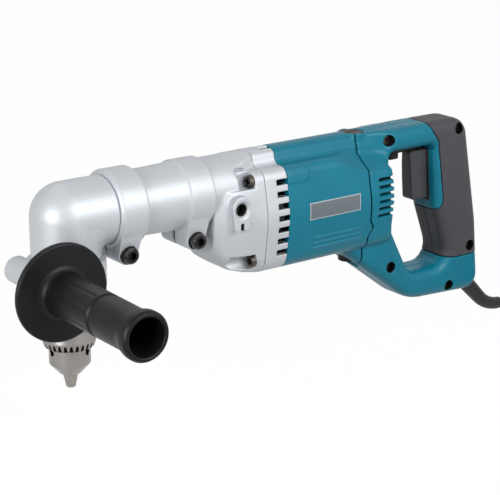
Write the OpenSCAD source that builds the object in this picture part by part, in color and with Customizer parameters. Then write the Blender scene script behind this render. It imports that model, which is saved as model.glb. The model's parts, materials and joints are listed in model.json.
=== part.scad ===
// Right angle drill: a cast elbow head with a keyed chuck and a side handle, a clamp coupling,
// a cast gear case, a moulded motor housing and a closed D handle with its trigger.
// The drill axis runs along X towards the handle, and the spindle axis hangs down along Z.

/* [Angle head] */
// Outer diameter of both arms of the elbow
arm_d = 54; // [51:0.5:58]
// Reach of the elbow from the spindle axis to the coupling
arm_reach = 32.7; // [31:0.1:36]
// Drop of the elbow from the drill axis to the side handle clamp
arm_drop = 32; // [31:0.5:36]
// Diameter of the machined collar on each arm
collar_d = 43; // [41:0.5:45]
// Length of each collar
collar_len = 25; // [23:0.5:29]
// Radius inside the bend of the elbow
elbow_bend = 6; // [4:0.5:10]
// Radius of the round gear chamber in the elbow
chamber_r = 20.5; // [19.5:0.1:21.5]

/* [Bearings] */
// Bore of the large ball bearings
bearing_bore = 12; // [11:0.5:13]
// Outer diameter of the large ball bearings
bearing_od = 32; // [28:0.5:33]
// Width of the large ball bearings
bearing_w = 10; // [8:0.5:10]
// Bore of the small ball bearings
small_bore = 8; // [7:0.5:8.5]
// Outer diameter of the small ball bearings
small_od = 22; // [20:0.5:24]
// Width of the small ball bearings
small_w = 7; // [6:0.5:7]

/* [Gears] */
// Tooth module of the bevel pair in the elbow
bevel_module = 1.6; // [1.5:0.05:1.65]
// Teeth of the bevel pinion
bevel_pinion_teeth = 14; // [13:1:15]
// Teeth of the bevel gear on the spindle
bevel_gear_teeth = 21; // [20:1:22]
// Face width of the bevel teeth
bevel_face = 6; // [4:0.5:7]
// Tooth module of the first spur stage
first_module = 0.9; // [0.85:0.01:0.95]
// Teeth of the motor pinion
motor_pinion_teeth = 10; // [10:1:11]
// Teeth of the large intermediate gear
first_gear_teeth = 30; // [28:1:31]
// Tooth module of the second spur stage
second_module = 1.1; // [1.05:0.01:1.12]
// Teeth of the small intermediate gear
second_pinion_teeth = 11; // [11:1:12]
// Teeth of the output gear
output_gear_teeth = 27; // [26:1:28]
// Face width of the second stage
second_face = 11; // [9:0.5:12]
// Face width of the first stage
first_face = 8; // [6:0.5:9]

/* [Chuck] */
// Outer diameter of the toothed chuck sleeve
sleeve_d = 43.2; // [42:0.1:46]
// Diameter of the chuck body below the sleeve
chuck_d = 32.6; // [31:0.1:35]
// Drop from the drill axis to the top of the chuck
chuck_drop = 63; // [61:0.5:68]
// Length of the chuck from its top to its nose
chuck_len = 63.5; // [60:0.5:70]
// Teeth of the chuck sleeve
sleeve_teeth = 28; // [24:1:32]
// Diameter of each jaw
jaw_d = 7; // [6:0.1:7.4]
// Length of each jaw
jaw_len = 31; // [28:0.5:34]
// Reach of the closed jaws past the nose
jaw_reach = 12; // [10:0.5:14]
// Tilt of the jaws to the spindle axis
jaw_tilt = 15; // [13:0.5:16]

/* [Side handle] */
// Distance of the grip axis in front of the spindle axis
grip_offset = 28; // [27:0.5:31]
// Drop of the grip axis below the drill axis
grip_drop = 44; // [43:0.5:47]
// Outer diameter of the clamp ring
ring_d = 61; // [58:0.5:64]
// Height of the clamp ring
ring_h = 22; // [20:0.5:23]
// Diameter of the clamp ears
ear_d = 21.6; // [20:0.2:22]
// Half of the span over both ears
ear_span = 28; // [26:0.5:30]
// Diameter of the hand guard disc
disc_d = 76; // [70:1:84]
// Diameter of the grip
grip_d = 33; // [30:0.5:35]
// Diameter of the bead at the end of the grip
bead_d = 37.4; // [36:0.2:40]
// Diameter of the open end of the grip
grip_hole_d = 28.6; // [24:0.2:29.5]
// Length of the grip from the ears to its end
grip_len = 129; // [115:1:140]
// Diameter of the threaded stud
stud_d = 10; // [8:0.5:10.5]

/* [Coupling] */
// Diameter of the front clamp
front_clamp_d = 61.5; // [58:0.5:64]
// Width of the front clamp
front_clamp_w = 24.6; // [22:0.2:28]
// Length of the plain tube
tube_len = 38.2; // [34:0.2:44]
// Diameter of the tube at its front
tube_front_d = 52.6; // [51:0.2:55]
// Diameter of the tube at its rear
tube_rear_d = 54.6; // [52:0.2:56]
// Diameter of the rear clamp
rear_clamp_d = 57.6; // [56:0.2:60]
// Width of the rear clamp
rear_clamp_w = 25; // [23:0.2:28]
// Drop of the clamp bolts below the drill axis
bolt_drop = 34; // [33:0.5:37]
// Half of the span over the clamp lugs
lug_span = 19; // [17:0.5:21]
// Thread diameter of the clamp bolts
bolt_d = 8; // [6:0.5:8.5]
// Head diameter of the clamp bolts
bolt_head_d = 13; // [11:0.5:14]

/* [Housings] */
// Length of the gear case behind the coupling
case_len = 46.6; // [45.5:0.1:50]
// Diameter of the round nose of the gear case
nose_d = 53; // [50:0.5:55]
// Length of the vented bearing box
vent_len = 22; // [21:0.2:24]
// Length of the motor housing to the handle seam
motor_len = 86; // [84:0.5:92]
// Width of the housings
body_w = 68; // [67:0.5:72]
// Height of the shoulders above the drill axis
shoulder_top = 14.5; // [13:0.5:17]
// Drop of the underside below the drill axis
belly_drop = 73.5; // [72:0.5:78]
// Width of the top ridge
ridge_w = 26; // [24:0.5:28]
// Height of the top ridge above the drill axis
ridge_top = 27.5; // [27:0.5:30]
// Drop of the motor axis below the drill axis
motor_drop = 28; // [27.5:0.1:29]
// Thread diameter of the side handle sockets
socket_d = 12; // [10:0.5:13]
// Number of vent slots on each side
vent_count = 7; // [5:1:8]

/* [Motor] */
// Wall of the motor housing beside the field core
housing_wall = 3; // [2.5:0.1:4]
// Length of the field core
field_len = 50; // [44:0.5:52]
// Bore of the field core as a share of its outer diameter
field_bore_share = 0.67; // [0.62:0.01:0.7]
// Diameter of the commutator
commutator_d = 24; // [20:0.5:26]
// Diameter of the brush caps
brush_cap_d = 19; // [17:0.5:20]

/* [Handle] */
// Length of the handle behind the motor seam
handle_len = 149; // [146:0.5:156]
// Height of the handle
handle_h = 170; // [166:0.5:178]
// Thickness of the handle
handle_t = 38; // [36:0.5:42]
// Radius of the rounded handle edges
handle_edge = 9; // [6:0.5:11]
// Width of the trigger
trigger_w = 13; // [11:0.5:16]
// Travel of the trigger
trigger_travel = 7; // [5:0.5:8]
// Diameter of the mains cord
cord_d = 8; // [7:0.1:8]

/* [Hidden] */
$fn = 64;
// Seam between housings that are screwed together
seam_gap = 0.3;
// Radial clearance of bearings, shafts and collars
run_fit = 0.05;
// Clearance round screws, sliding and inner pieces
loose_fit = 0.3;
// Overrun of every cut past the face that it opens
overrun = 1;

// Unit vector along v
function unit(v) = v / norm(v);

// Points of a round corner at b between a and c
function corner(a, b, c, r, steps) =
  let(
    u = unit(a - b),
    v = unit(c - b),
    half = acos(max(-1, min(1, u * v))) / 2,
    start = b + u * r / tan(half),
    centre = b + unit(u + v) * r / sin(half),
    first = atan2(start[1] - centre[1], start[0] - centre[0]),
    turn = (u[0] * v[1] - u[1] * v[0] > 0 ? -1 : 1) * (180 - 2 * half)
  )
  [for (i = [0 : steps]) centre + r * [cos(first + turn * i / steps), sin(first + turn * i / steps)]];

// Outline with round corners from points that carry their radius as a third value
function rounded(p, steps = 5) =
  let(n = len(p))
  [for (i = [0 : n - 1])
    let(a = p[(i + n - 1) % n], b = p[i], c = p[(i + 1) % n])
    each corner([a[0], a[1]], [b[0], b[1]], [c[0], c[1]], b[2], steps)];

// The same corners moved inwards by d, for an outline that runs clockwise
function inset(p, d) =
  let(n = len(p))
  [for (i = [0 : n - 1])
    let(
      a = p[(i + n - 1) % n],
      b = p[i],
      c = p[(i + 1) % n],
      u = unit([b[0] - a[0], b[1] - a[1]]),
      v = unit([c[0] - b[0], c[1] - b[1]]),
      side = u[0] * v[1] - u[1] * v[0],
      shift = d * ([u[1], -u[0]] + [v[1], -v[0]]) / (1 + u * v)
    )
    [b[0] + shift[0], b[1] + shift[1], max(b[2] + (side < 0 ? -d : d), b[2] / 4)]];

// Solid through rings of points that have the same count
module loft(rings, flip = false) {
  n = len(rings[0]);
  last = len(rings) - 1;
  sides = [for (k = [0 : last - 1], i = [0 : n - 1])
    let(a = k * n + i, b = k * n + (i + 1) % n)
    each [[a, b, b + n], [a, b + n, a + n]]];
  ends = [[for (i = [0 : n - 1]) n - 1 - i], [for (i = [0 : n - 1]) last * n + i]];
  faces = concat(sides, ends);
  turned = [for (f = faces) [for (i = [0 : len(f) - 1]) f[len(f) - 1 - i]]];
  polyhedron([for (r = rings) each r], flip ? turned : faces, convexity = 6);
}

// Children turned so that their Z axis runs along X, or their drawing plane stands across X
module along_x(x) translate([x, 0, 0]) rotate([0, 90, 0]) children();
module across_x(x, h) translate([x, 0, 0]) rotate([90, 0, 90]) linear_extrude(h) children();
// Children of the X Z drawing plane made a slab of thickness t about y
module slab(y, t) translate([0, y + t / 2, 0]) rotate([90, 0, 0]) linear_extrude(t) children();
module both_sides() {
  children();
  mirror([0, 1, 0]) children();
}

// Places along the drill axis
sleeve_x = arm_reach + seam_gap;
front_clamp_end = sleeve_x + front_clamp_w;
tube_end = front_clamp_end + tube_len;
rear_clamp_end = tube_end + rear_clamp_w;
case_x = rear_clamp_end + seam_gap;
vent_x = case_x + case_len + seam_gap;
motor_x = vent_x + vent_len + seam_gap;
seam_x = motor_x + motor_len;
arm_end = arm_reach + collar_len;
drop_end = arm_drop + collar_len;

// Spur and bevel teeth
pressure_angle = 20;
addendum_share = 0.9;
dedendum_share = 1.2;
backlash_share = 0.14;
root_flare_share = 0.25;
web_share = 0.9;
function involute(a) = tan(a) * 180 / PI - a;
// Half of the tooth's angle at radius r
function tooth_half(r, teeth, pitch_r) =
  let(base_r = pitch_r * cos(pressure_angle))
  (90 - 90 * backlash_share) / teeth + involute(pressure_angle)
    - (r > base_r ? involute(acos(base_r / r)) : 0);
// Radii and half angles from the root to the tip of a tooth
function tooth_side(teeth, m) =
  let(
    pitch_r = m * teeth / 2,
    root_r = pitch_r - dedendum_share * m,
    tip_r = pitch_r + addendum_share * m,
    mid_r = max(pitch_r * cos(pressure_angle), root_r + (pitch_r - root_r) / 3)
  )
  concat(
    [[root_r, tooth_half(root_r, teeth, pitch_r) * (1 - root_flare_share) + 180 / teeth * root_flare_share]],
    [for (r = [mid_r, pitch_r, (pitch_r + tip_r) / 2, tip_r]) [r, tooth_half(r, teeth, pitch_r)]]);
function mirrored_side(s) =
  concat([for (p = s) [p[0], -p[1]]], [for (i = [len(s) - 1 : -1 : 0]) s[i]]);
function spur_points(teeth, m) =
  [for (k = [0 : teeth - 1], p = mirrored_side(tooth_side(teeth, m)))
    let(a = 360 * k / teeth + p[1]) p[0] * [cos(a), sin(a)]];
module spur(teeth, m) polygon(spur_points(teeth, m));

// A straight bevel gear with its apex at the origin, its back end on +Z
module bevel(teeth, mate_teeth, m, face) {
  cone = atan2(teeth, mate_teeth);
  cone_len = m * norm([teeth, mate_teeth]) / 2;
  side = mirrored_side(tooth_side(teeth / cos(cone), m));
  back_apex = cone_len / cos(cone);
  outer = [for (k = [0 : teeth - 1], p = side)
    let(a = 360 * k / teeth + p[1] / cos(cone), r = p[0] * cos(cone))
    [r * cos(a), r * sin(a), back_apex - p[0] * sin(cone)]];
  web_r = side[0][0] * cos(cone) * web_share;
  web = [for (p = outer) concat(web_r * unit([p[0], p[1]]), [back_apex - side[0][0] * sin(cone)])];
  near_share = 1 - face / cone_len;
  loft([web * near_share, outer * near_share, outer, web], flip = true);
}

// Straight serrations of the drive between the output shaft and the elbow
serration_count = 24;
serration_r = 7;
serration_depth = 0.7;
function serration(r) =
  [for (i = [0 : 2 * serration_count - 1])
    let(a = 180 * i / serration_count)
    (r - (i % 2) * serration_depth) * [cos(a), sin(a)]];

// A ball bearing drawn as one ring, with a groove between its races on both faces
shield_groove = 0.8;
module bearing(bore, od, w) {
  race = (od - bore) / 8;
  inner_race = bore / 2 + race;
  outer_race = od / 2 - race;
  rotate_extrude()
    polygon([
      [bore / 2 + run_fit, 0],
      [inner_race, 0],
      [inner_race, shield_groove],
      [outer_race, shield_groove],
      [outer_race, 0],
      [od / 2, 0],
      [od / 2, w],
      [outer_race, w],
      [outer_race, w - shield_groove],
      [inner_race, w - shield_groove],
      [inner_race, w],
      [bore / 2 + run_fit, w],
    ]);
}

// Section of the vented box and the motor housing: half widths, heights and radii of one side, then both
ridge_half = ridge_w / 2;
body_half = body_w / 2;
ridge_rise = ridge_top - shoulder_top;
crown_share = 0.35;
ridge_edge_shares = [0.8, 0.27];
shoulder_share = 0.8;
belly_share = 0.8;
side_level_share = 0.46;
body_tall = shoulder_top + belly_drop;
crown_round = 12;
ridge_round = 4;
foot_round = 6;
shoulder_round = 9;
belly_round = 16;
side_round = 60;
side_corners = [
  [ridge_half * crown_share, ridge_top, crown_round],
  [ridge_half * ridge_edge_shares[0], ridge_top - ridge_rise * ridge_edge_shares[1], ridge_round],
  [ridge_half, shoulder_top, foot_round],
  [body_half * shoulder_share, shoulder_top, shoulder_round],
  [body_half, shoulder_top - body_tall * side_level_share, side_round],
  [body_half * belly_share, -belly_drop, belly_round],
];
function other_side(p) = [-p[0], p[1], p[2]];
body_corners = concat(side_corners,
  [for (i = [len(side_corners) - 1 : -1 : 0]) other_side(side_corners[i])]);
module body_section(d = 0) polygon(rounded(inset(body_corners, d)));

// Handle outline and finger opening: shares of the handle's length and height, and radii
function handle_point(p) = [seam_x + p[0] * handle_len, ridge_top - p[1] * handle_h, p[2] * handle_edge];
handle_shares = [
  [-0.11, 0.006, 0.3],
  [0.828, 0.006, 1.8],
  [0.95, 0.58, 14],
  [0.993, 0.975, 1.55],
  [0.42, 0.948, 5],
  [-0.11, 0.598, 0.3],
];
opening_shares = [
  [0.241, 0.13, 0.45],
  [0.577, 0.13, 0.45],
  [0.604, 0.47, 0.9],
  [0.737, 0.797, 1.5],
  [0.421, 0.797, 1.5],
  [0.249, 0.503, 2.8],
];
handle_corners = [for (p = handle_shares) handle_point(p)];
opening_corners = [for (p = opening_shares) handle_point(p)];
handle_half = handle_t / 2;
edge_steps = 4;
// Ring of an outline at depth y, moved inwards by d
function outline_ring(corners, y, d) = [for (p = rounded(inset(corners, d))) [p[0], y, p[1]]];
// Half plate with a rounded outer edge, from the middle plane to the left
module half_plate(corners) {
  rings = concat([outline_ring(corners, 0, 0)],
    [for (i = [0 : edge_steps])
      let(a = 90 * i / edge_steps)
      outline_ring(corners, -handle_half + handle_edge * (1 - sin(a)), handle_edge * (1 - cos(a)))]);
  loft(rings);
}
// The matching cut, which opens out towards the outer face
module half_opening(corners) {
  rings = concat([outline_ring(corners, overrun, 0)],
    [for (i = [0 : edge_steps])
      let(a = 90 * i / edge_steps)
      outline_ring(corners, -handle_half + handle_edge * (1 - sin(a)), -handle_edge * (1 - cos(a)))],
    [outline_ring(corners, -body_half - overrun, -handle_edge)]);
  loft(rings);
}

// The front of the seam, from the ridge down to the leg of the handle
seam_shares = [[0, 0.04], [0, 0.48], [0.4, 0.83], [1, 0.9], [0.2, 1], [0.5, 1.12], [0.65, 1.26]];
seam_wave = 6;
function seam_line(shift) =
  concat([[seam_x + seam_shares[0][0] * seam_wave + shift, ridge_top + handle_t]],
    [for (p = seam_shares) [seam_x + p[0] * seam_wave + shift, ridge_top - p[1] * body_tall]],
    [[seam_x + seam_shares[len(seam_shares) - 1][0] * seam_wave + shift, -handle_h]]);
// Everything in front of the seam, less a shift
module before_seam(shift) slab(0, 2 * body_w)
  polygon(concat(seam_line(shift), [[motor_x, -handle_h], [motor_x, ridge_top + handle_t]]));

// Cord guard: a straight stub and a bend down to the level of the floor
guard_tilt = 45;
guard_root_r = 7.6;
guard_tip_r = 5.5;
guard_straight = 30;
guard_bend = 40;
guard_flange_r = 10;
guard_flange = 5;
guard_seat = 12;
guard_bend_steps = 6;
handle_corner = handle_corners[3];
guard_exit = [
  handle_corner[0] - handle_corner[2] * (1 - cos(guard_tilt)),
  0,
  handle_corner[1] + handle_corner[2] * (1 - sin(guard_tilt)),
];
guard_knee = guard_exit + guard_straight * [cos(guard_tilt), 0, -sin(guard_tilt)];
guard_end = guard_knee + guard_bend * [sin(guard_tilt), 0, cos(guard_tilt) - 1];

// The part's own frame: below the middle of the drill, cord aside, on the surface under it
front_x = -grip_offset - disc_d / 2;
left_y = -ear_span - grip_len - loose_fit;
boss_rise = 2.2;
right_y = body_half + boss_rise;
mid_x = (front_x + guard_end[0]) / 2;
mid_y = (left_y + right_y) / 2;
ground = guard_end[2] - guard_tip_r;
module place() translate([-mid_x, -mid_y, -ground]) children();

// Elbow casting
bend_tube_r = arm_d / 2 - overrun;
bend_axis_r = bend_tube_r + elbow_bend;
bearing_seat = arm_reach - bearing_w;
module angle_head() color("silver") place() difference() {
  union() {
    sphere(d = arm_d);
    along_x(0) cylinder(d = arm_d, h = arm_reach);
    rotate([180, 0, 0]) cylinder(d = arm_d, h = arm_drop);
    translate([bend_axis_r, 0, -bend_axis_r]) rotate([90, 0, 0]) rotate([0, 0, 90])
      rotate_extrude(angle = 90) translate([bend_axis_r, 0]) circle(r = bend_tube_r);
    along_x(arm_reach - overrun) cylinder(d = collar_d, h = collar_len + overrun);
    translate([0, 0, -drop_end]) cylinder(d = collar_d, h = collar_len + overrun);
  }
  sphere(r = chamber_r);
  along_x(0) cylinder(d = bearing_od + 2 * run_fit, h = arm_end + overrun);
  translate([0, 0, -drop_end - overrun]) cylinder(d = bearing_od + 2 * run_fit, h = drop_end + overrun);
}

// Two bearings in each arm
module arm_bearings(seat, end) {
  translate([0, 0, seat]) bearing(bearing_bore, bearing_od, bearing_w);
  translate([0, 0, end - bearing_w]) bearing(bearing_bore, bearing_od, bearing_w);
}
module head_bearings() color("lightsteelblue") place() {
  along_x(0) arm_bearings(bearing_seat, arm_end);
  rotate([180, 0, 0]) arm_bearings(arm_drop - bearing_w, drop_end);
}

// Tubes that keep the bearings of each arm apart
spacer_wall = 2;
module spacer(from, to) translate([0, 0, from]) difference() {
  cylinder(d = bearing_od, h = to - from);
  translate([0, 0, -overrun]) cylinder(d = bearing_od - 2 * spacer_wall, h = to - from + 2 * overrun);
}
module head_spacers() color("gray") place() {
  along_x(0) spacer(arm_reach, arm_end - bearing_w);
  rotate([180, 0, 0]) spacer(arm_drop, drop_end - bearing_w);
}

// Bevel pinion on its serrated shaft
bevel_hub_r = 9;
drive_len = 12;
drive_x = arm_end + seam_gap;
pinion_back = bevel_module * bevel_gear_teeth / 2;
module bevel_pinion() color("dimgray") place() {
  along_x(0) bevel(bevel_pinion_teeth, bevel_gear_teeth, bevel_module, bevel_face);
  along_x(pinion_back - overrun)
    cylinder(r = bevel_hub_r - overrun, h = bearing_seat - pinion_back + overrun - seam_gap);
  along_x(pinion_back) cylinder(d = bearing_bore, h = drive_x + overrun - pinion_back);
  along_x(drive_x) linear_extrude(drive_len) polygon(serration(serration_r));
}

// Bevel gear keyed on the spindle
gear_back = bevel_module * bevel_pinion_teeth / 2;
module bevel_gear() color("dimgray") place() difference() {
  union() {
    rotate([180, 0, 0]) rotate([0, 0, 180 / bevel_gear_teeth])
      bevel(bevel_gear_teeth, bevel_pinion_teeth, bevel_module, bevel_face);
    translate([0, 0, -arm_drop + bearing_w + seam_gap])
      cylinder(r = bevel_hub_r, h = arm_drop - bearing_w - seam_gap - gear_back);
  }
  translate([0, 0, -arm_drop]) cylinder(d = bearing_bore + 2 * run_fit, h = arm_drop);
}

// Spindle with the chuck's seat
spindle_top_share = 0.55;
chuck_thread_d = 11;
chuck_thread_len = 18;
chuck_seat = 3;
module spindle() color("lightgray") place() {
  translate([0, 0, -drop_end - seam_gap]) cylinder(d = bearing_bore,
    h = drop_end + seam_gap - gear_back * spindle_top_share);
  translate([0, 0, -chuck_drop]) cylinder(d = bearing_bore + 2 * chuck_seat,
    h = chuck_drop - drop_end - seam_gap);
  translate([0, 0, -chuck_drop - chuck_thread_len]) cylinder(d = chuck_thread_d, h = chuck_thread_len);
}

// Keyed chuck: body with inclined jaw bores and three key holes
chuck_nose = chuck_drop + chuck_len;
jaw_tip = chuck_nose + jaw_reach;
sleeve_len_share = 0.6;
sleeve_bore_d = 36.4;
teeth_len = 6.5;
skirt_len = 8;
nose_r = 8.2;
nose_len = 9;
key_hole_d = 6;
sleeve_step = 1.2;
sleeve_top = chuck_drop + sleeve_step;
sleeve_end = sleeve_top + chuck_len * sleeve_len_share + sleeve_step;
jaw_travel = 22;
module jaw_axis(i) rotate([0, 0, 120 * i]) translate([0, 0, -jaw_tip]) rotate([0, jaw_tilt, 0]) children();
module chuck_body() color("lightgray") place() difference() {
  union() {
    translate([0, 0, -sleeve_end])
      cylinder(d = sleeve_bore_d - 2 * run_fit, h = sleeve_end - chuck_drop);
    translate([0, 0, -chuck_nose + nose_len])
      cylinder(d = chuck_d, h = chuck_nose - nose_len - sleeve_end);
    translate([0, 0, -chuck_nose]) cylinder(r1 = nose_r, r2 = chuck_d / 2, h = nose_len);
  }
  translate([0, 0, -chuck_drop - chuck_thread_len - seam_gap])
    cylinder(d = chuck_thread_d + 2 * run_fit, h = chuck_thread_len + seam_gap + overrun);
  for (i = [0 : 2]) {
    jaw_axis(i) cylinder(d = jaw_d + 2 * run_fit, h = jaw_len + jaw_travel + overrun);
    rotate([0, 0, 120 * i + 60]) translate([0, 0, -sleeve_end - key_hole_d / 2 - seam_gap])
      along_x(chuck_d / 4) cylinder(d = key_hole_d, h = chuck_d);
  }
}

// Toothed sleeve: a plain ring, a coned skirt and a crown of key teeth
tooth_pitch = PI * sleeve_d / sleeve_teeth;
tooth_gap_shares = [0.78, 0.3];
module chuck_sleeve() color("silver") place() difference() {
  translate([0, 0, -sleeve_end]) rotate_extrude()
    polygon([
      [sleeve_bore_d / 2, 0],
      [sleeve_d / 2 - teeth_len / 3, 0],
      [sleeve_d / 2, teeth_len],
      [sleeve_d / 2, teeth_len + seam_gap],
      [sleeve_d / 2 - sleeve_step, teeth_len + skirt_len],
      [sleeve_d / 2 - sleeve_step, sleeve_end - sleeve_top - sleeve_step],
      [sleeve_d / 2 - 2 * sleeve_step, sleeve_end - sleeve_top],
      [sleeve_bore_d / 2, sleeve_end - sleeve_top],
    ]);
  for (i = [0 : sleeve_teeth - 1])
    rotate([0, 0, 360 * i / sleeve_teeth]) across_x(sleeve_bore_d / 2 + 2 * seam_gap, sleeve_d)
      polygon([
        [-tooth_pitch * tooth_gap_shares[0] / 2, -sleeve_end - overrun],
        [tooth_pitch * tooth_gap_shares[0] / 2, -sleeve_end - overrun],
        [tooth_pitch * tooth_gap_shares[1] / 2, teeth_len - sleeve_end - overrun],
        [-tooth_pitch * tooth_gap_shares[1] / 2, teeth_len - sleeve_end - overrun],
      ]);
}

// Jaws: round rods, ground to a third of a circle where they meet
jaw_gap = 0.15;
module chuck_jaw(i) color("gray") place() intersection() {
  jaw_axis(i) cylinder(d = jaw_d, h = jaw_len);
  rotate([0, 0, 120 * i]) translate([jaw_gap, 0, -jaw_tip + seam_gap])
    linear_extrude(jaw_len) polygon([
      [0, 0],
      [jaw_len * cos(60), -jaw_len * sin(60)],
      [2 * jaw_len, 0],
      [jaw_len * cos(60), jaw_len * sin(60)],
    ]);
}
module chuck_jaw_1() chuck_jaw(0);
module chuck_jaw_2() chuck_jaw(1);
module chuck_jaw_3() chuck_jaw(2);

// Split ring that carries the side handle
split_w = 4;
module at_grip() translate([-grip_offset, 0, -grip_drop]) rotate([90, 0, 0]) children();
module handle_clamp() color("silver") place() difference() {
  union() {
    translate([0, 0, -grip_drop - ring_h / 2]) cylinder(d = ring_d, h = ring_h);
    at_grip() translate([0, 0, -ear_span]) cylinder(d = ear_d, h = 2 * ear_span);
  }
  translate([0, 0, -grip_drop - ring_h]) cylinder(d = collar_d + 2 * run_fit, h = 2 * ring_h);
  at_grip() translate([0, 0, -ear_span - overrun])
    cylinder(d = stud_d + 2 * run_fit, h = 2 * ear_span + 2 * overrun);
  translate([-ring_d, -split_w / 2, -grip_drop - ring_h]) cube([ring_d, split_w, 2 * ring_h]);
}

// Stud with a hexagon head against the far ear
stud_head_d = 16;
stud_head_h = 5.5;
stud_len_share = 0.42;
stud_end = ear_span + grip_len * stud_len_share;
module grip_stud() color("gray") place() at_grip() {
  translate([0, 0, -ear_span]) cylinder(d = stud_d, h = ear_span + stud_end);
  translate([0, 0, -ear_span - stud_head_h]) cylinder(d = stud_head_d, h = stud_head_h, $fn = 6);
}

// Moulded grip with its guard disc, waist groove, flutes and open end
disc_set = 10;
disc_t = 5;
hub_r = 15;
hub_fillet = 9;
groove_depth = 1.2;
groove_w = 3;
groove_share = 0.6;
bead_len = 7;
hole_depth_share = 0.38;
flute_count = 8;
flute_r = 1.6;
flute_from_share = 0.24;
grip_r = grip_d / 2;
disc_rim = disc_d / 2;
grip_profile = concat(
  [[0, 0], [hub_r, 0], [hub_r, disc_set], [disc_rim - disc_t / 2, disc_set]],
  [for (a = [-60 : 30 : 60])
    [disc_rim - disc_t / 2 * (1 - cos(a)), disc_set + disc_t / 2 + disc_t / 2 * sin(a)]],
  [[disc_rim - disc_t / 2, disc_set + disc_t]],
  [for (a = [0 : 15 : 90])
    [grip_r + hub_fillet * (1 - sin(a)), disc_set + disc_t + hub_fillet * (1 - cos(a))]],
  [
    [grip_r, grip_len * groove_share - groove_w],
    [grip_r - groove_depth, grip_len * groove_share - groove_w / 2],
    [grip_r - groove_depth, grip_len * groove_share + groove_w / 2],
    [grip_r, grip_len * groove_share + groove_w],
    [grip_r, grip_len - 2 * bead_len],
    [bead_d / 2, grip_len - bead_len],
    [bead_d / 2, grip_len - bead_len / 3],
    [bead_d / 2 - bead_len / 3, grip_len],
    [0, grip_len],
  ]
);
module side_grip() color("#2b2b2d") place() at_grip() translate([0, 0, ear_span + loose_fit]) difference() {
  rotate_extrude() polygon(grip_profile);
  translate([0, 0, grip_len * (1 - hole_depth_share)])
    cylinder(d = grip_hole_d, h = grip_len * hole_depth_share + overrun);
  translate([0, 0, -overrun])
    cylinder(d = stud_d + 2 * run_fit, h = stud_end - ear_span + overrun + loose_fit);
  for (i = [0 : flute_count - 1])
    rotate([0, 0, 360 * (i + 0.5) / flute_count])
      translate([grip_r + flute_r / 2, 0, grip_len * flute_from_share])
        cylinder(r = flute_r, h = grip_len * (groove_share - flute_from_share) - groove_w);
}

// Coupling sleeve: one casting with a split clamp at each end
clamp_chamfer = 2.5;
clamp_split = 3;
lug_end_r = 8.5;
lug_lead = 1.5;
lug_top_share = 0.2;
lug_blend = 1;
lug_round_share = 0.95;
bolt_x = [sleeve_x + front_clamp_w / 2 - lug_lead, tube_end + rear_clamp_w / 2 - lug_lead];
spot_depth = 1.5;
module clamp_ring(x, d, w) along_x(x) rotate_extrude()
  polygon([
    [0, 0],
    [d / 2 - clamp_chamfer, 0],
    [d / 2, clamp_chamfer],
    [d / 2, w - clamp_chamfer / 2],
    [d / 2 - clamp_chamfer / 2, w],
    [0, w],
  ]);
// The flank of a lug touches a circle just inside its ring, and runs on to the seat of the bolt
function flank_r(d) = d / 2 - lug_blend;
function flank_tilt(d) = atan2(bolt_drop, lug_span) - acos(flank_r(d) / norm([lug_span, bolt_drop]));
module lug(x, w, d) intersection() {
  slab(0, d) polygon(rounded([
    [x - w / 2 + lug_lead, -bolt_drop * lug_top_share, lug_lead],
    [x + w / 2, -bolt_drop * lug_top_share, lug_lead],
    [x + lug_end_r, -bolt_drop - lug_end_r, lug_end_r * lug_round_share],
    [x - lug_end_r, -bolt_drop - lug_end_r, lug_end_r * lug_round_share],
  ]));
  across_x(x - w, 2 * w) polygon([
    flank_r(d) * [-cos(flank_tilt(d)), -sin(flank_tilt(d))],
    flank_r(d) * [cos(flank_tilt(d)), -sin(flank_tilt(d))],
    [lug_span, -bolt_drop],
    [lug_span, -2 * bolt_drop],
    [-lug_span, -2 * bolt_drop],
    [-lug_span, -bolt_drop],
  ]);
}
module coupling_sleeve() color("silver") place() difference() {
  union() {
    clamp_ring(sleeve_x, front_clamp_d, front_clamp_w);
    clamp_ring(tube_end, rear_clamp_d, rear_clamp_w);
    along_x(front_clamp_end - overrun)
      cylinder(d1 = tube_front_d, d2 = tube_rear_d, h = tube_len + 2 * overrun);
    lug(bolt_x[0], front_clamp_w - 2 * lug_lead, front_clamp_d);
    lug(bolt_x[1], rear_clamp_w - 2 * lug_lead, rear_clamp_d);
  }
  along_x(sleeve_x - overrun)
    cylinder(d = collar_d + 2 * run_fit, h = rear_clamp_end - sleeve_x + 2 * overrun);
  translate([sleeve_x - overrun, -clamp_split / 2, -bolt_drop * 2])
    cube([front_clamp_w + overrun, clamp_split, bolt_drop * 2]);
  translate([tube_end, -clamp_split / 2, -bolt_drop * 2])
    cube([rear_clamp_w + overrun, clamp_split, bolt_drop * 2]);
  for (x = bolt_x) {
    translate([x, lug_span + overrun, -bolt_drop]) rotate([90, 0, 0])
      cylinder(d = bolt_d + 2 * run_fit, h = 2 * lug_span + 2 * overrun);
    translate([x, -lug_span + spot_depth, -bolt_drop]) rotate([90, 0, 0])
      cylinder(d = bolt_head_d + 4 * loose_fit, h = bolt_head_d);
  }
}

// Socket head bolts of the two clamps
bolt_dome = 2;
hex_key_share = 0.75;
module clamp_bolts() color("#1c1c1e") place()
  for (x = bolt_x) translate([x, -lug_span + spot_depth, -bolt_drop]) rotate([90, 0, 0]) difference() {
    union() {
      translate([0, 0, -2 * lug_span + 2 * spot_depth]) cylinder(d = bolt_d, h = 2 * lug_span);
      cylinder(d = bolt_head_d, h = bolt_d - bolt_dome);
      translate([0, 0, bolt_d - bolt_dome])
        cylinder(d1 = bolt_head_d, d2 = bolt_head_d - 2 * bolt_dome, h = bolt_dome);
    }
    translate([0, 0, bolt_d / 2]) cylinder(d = bolt_d * hex_key_share, h = bolt_d, $fn = 6);
  }

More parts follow.
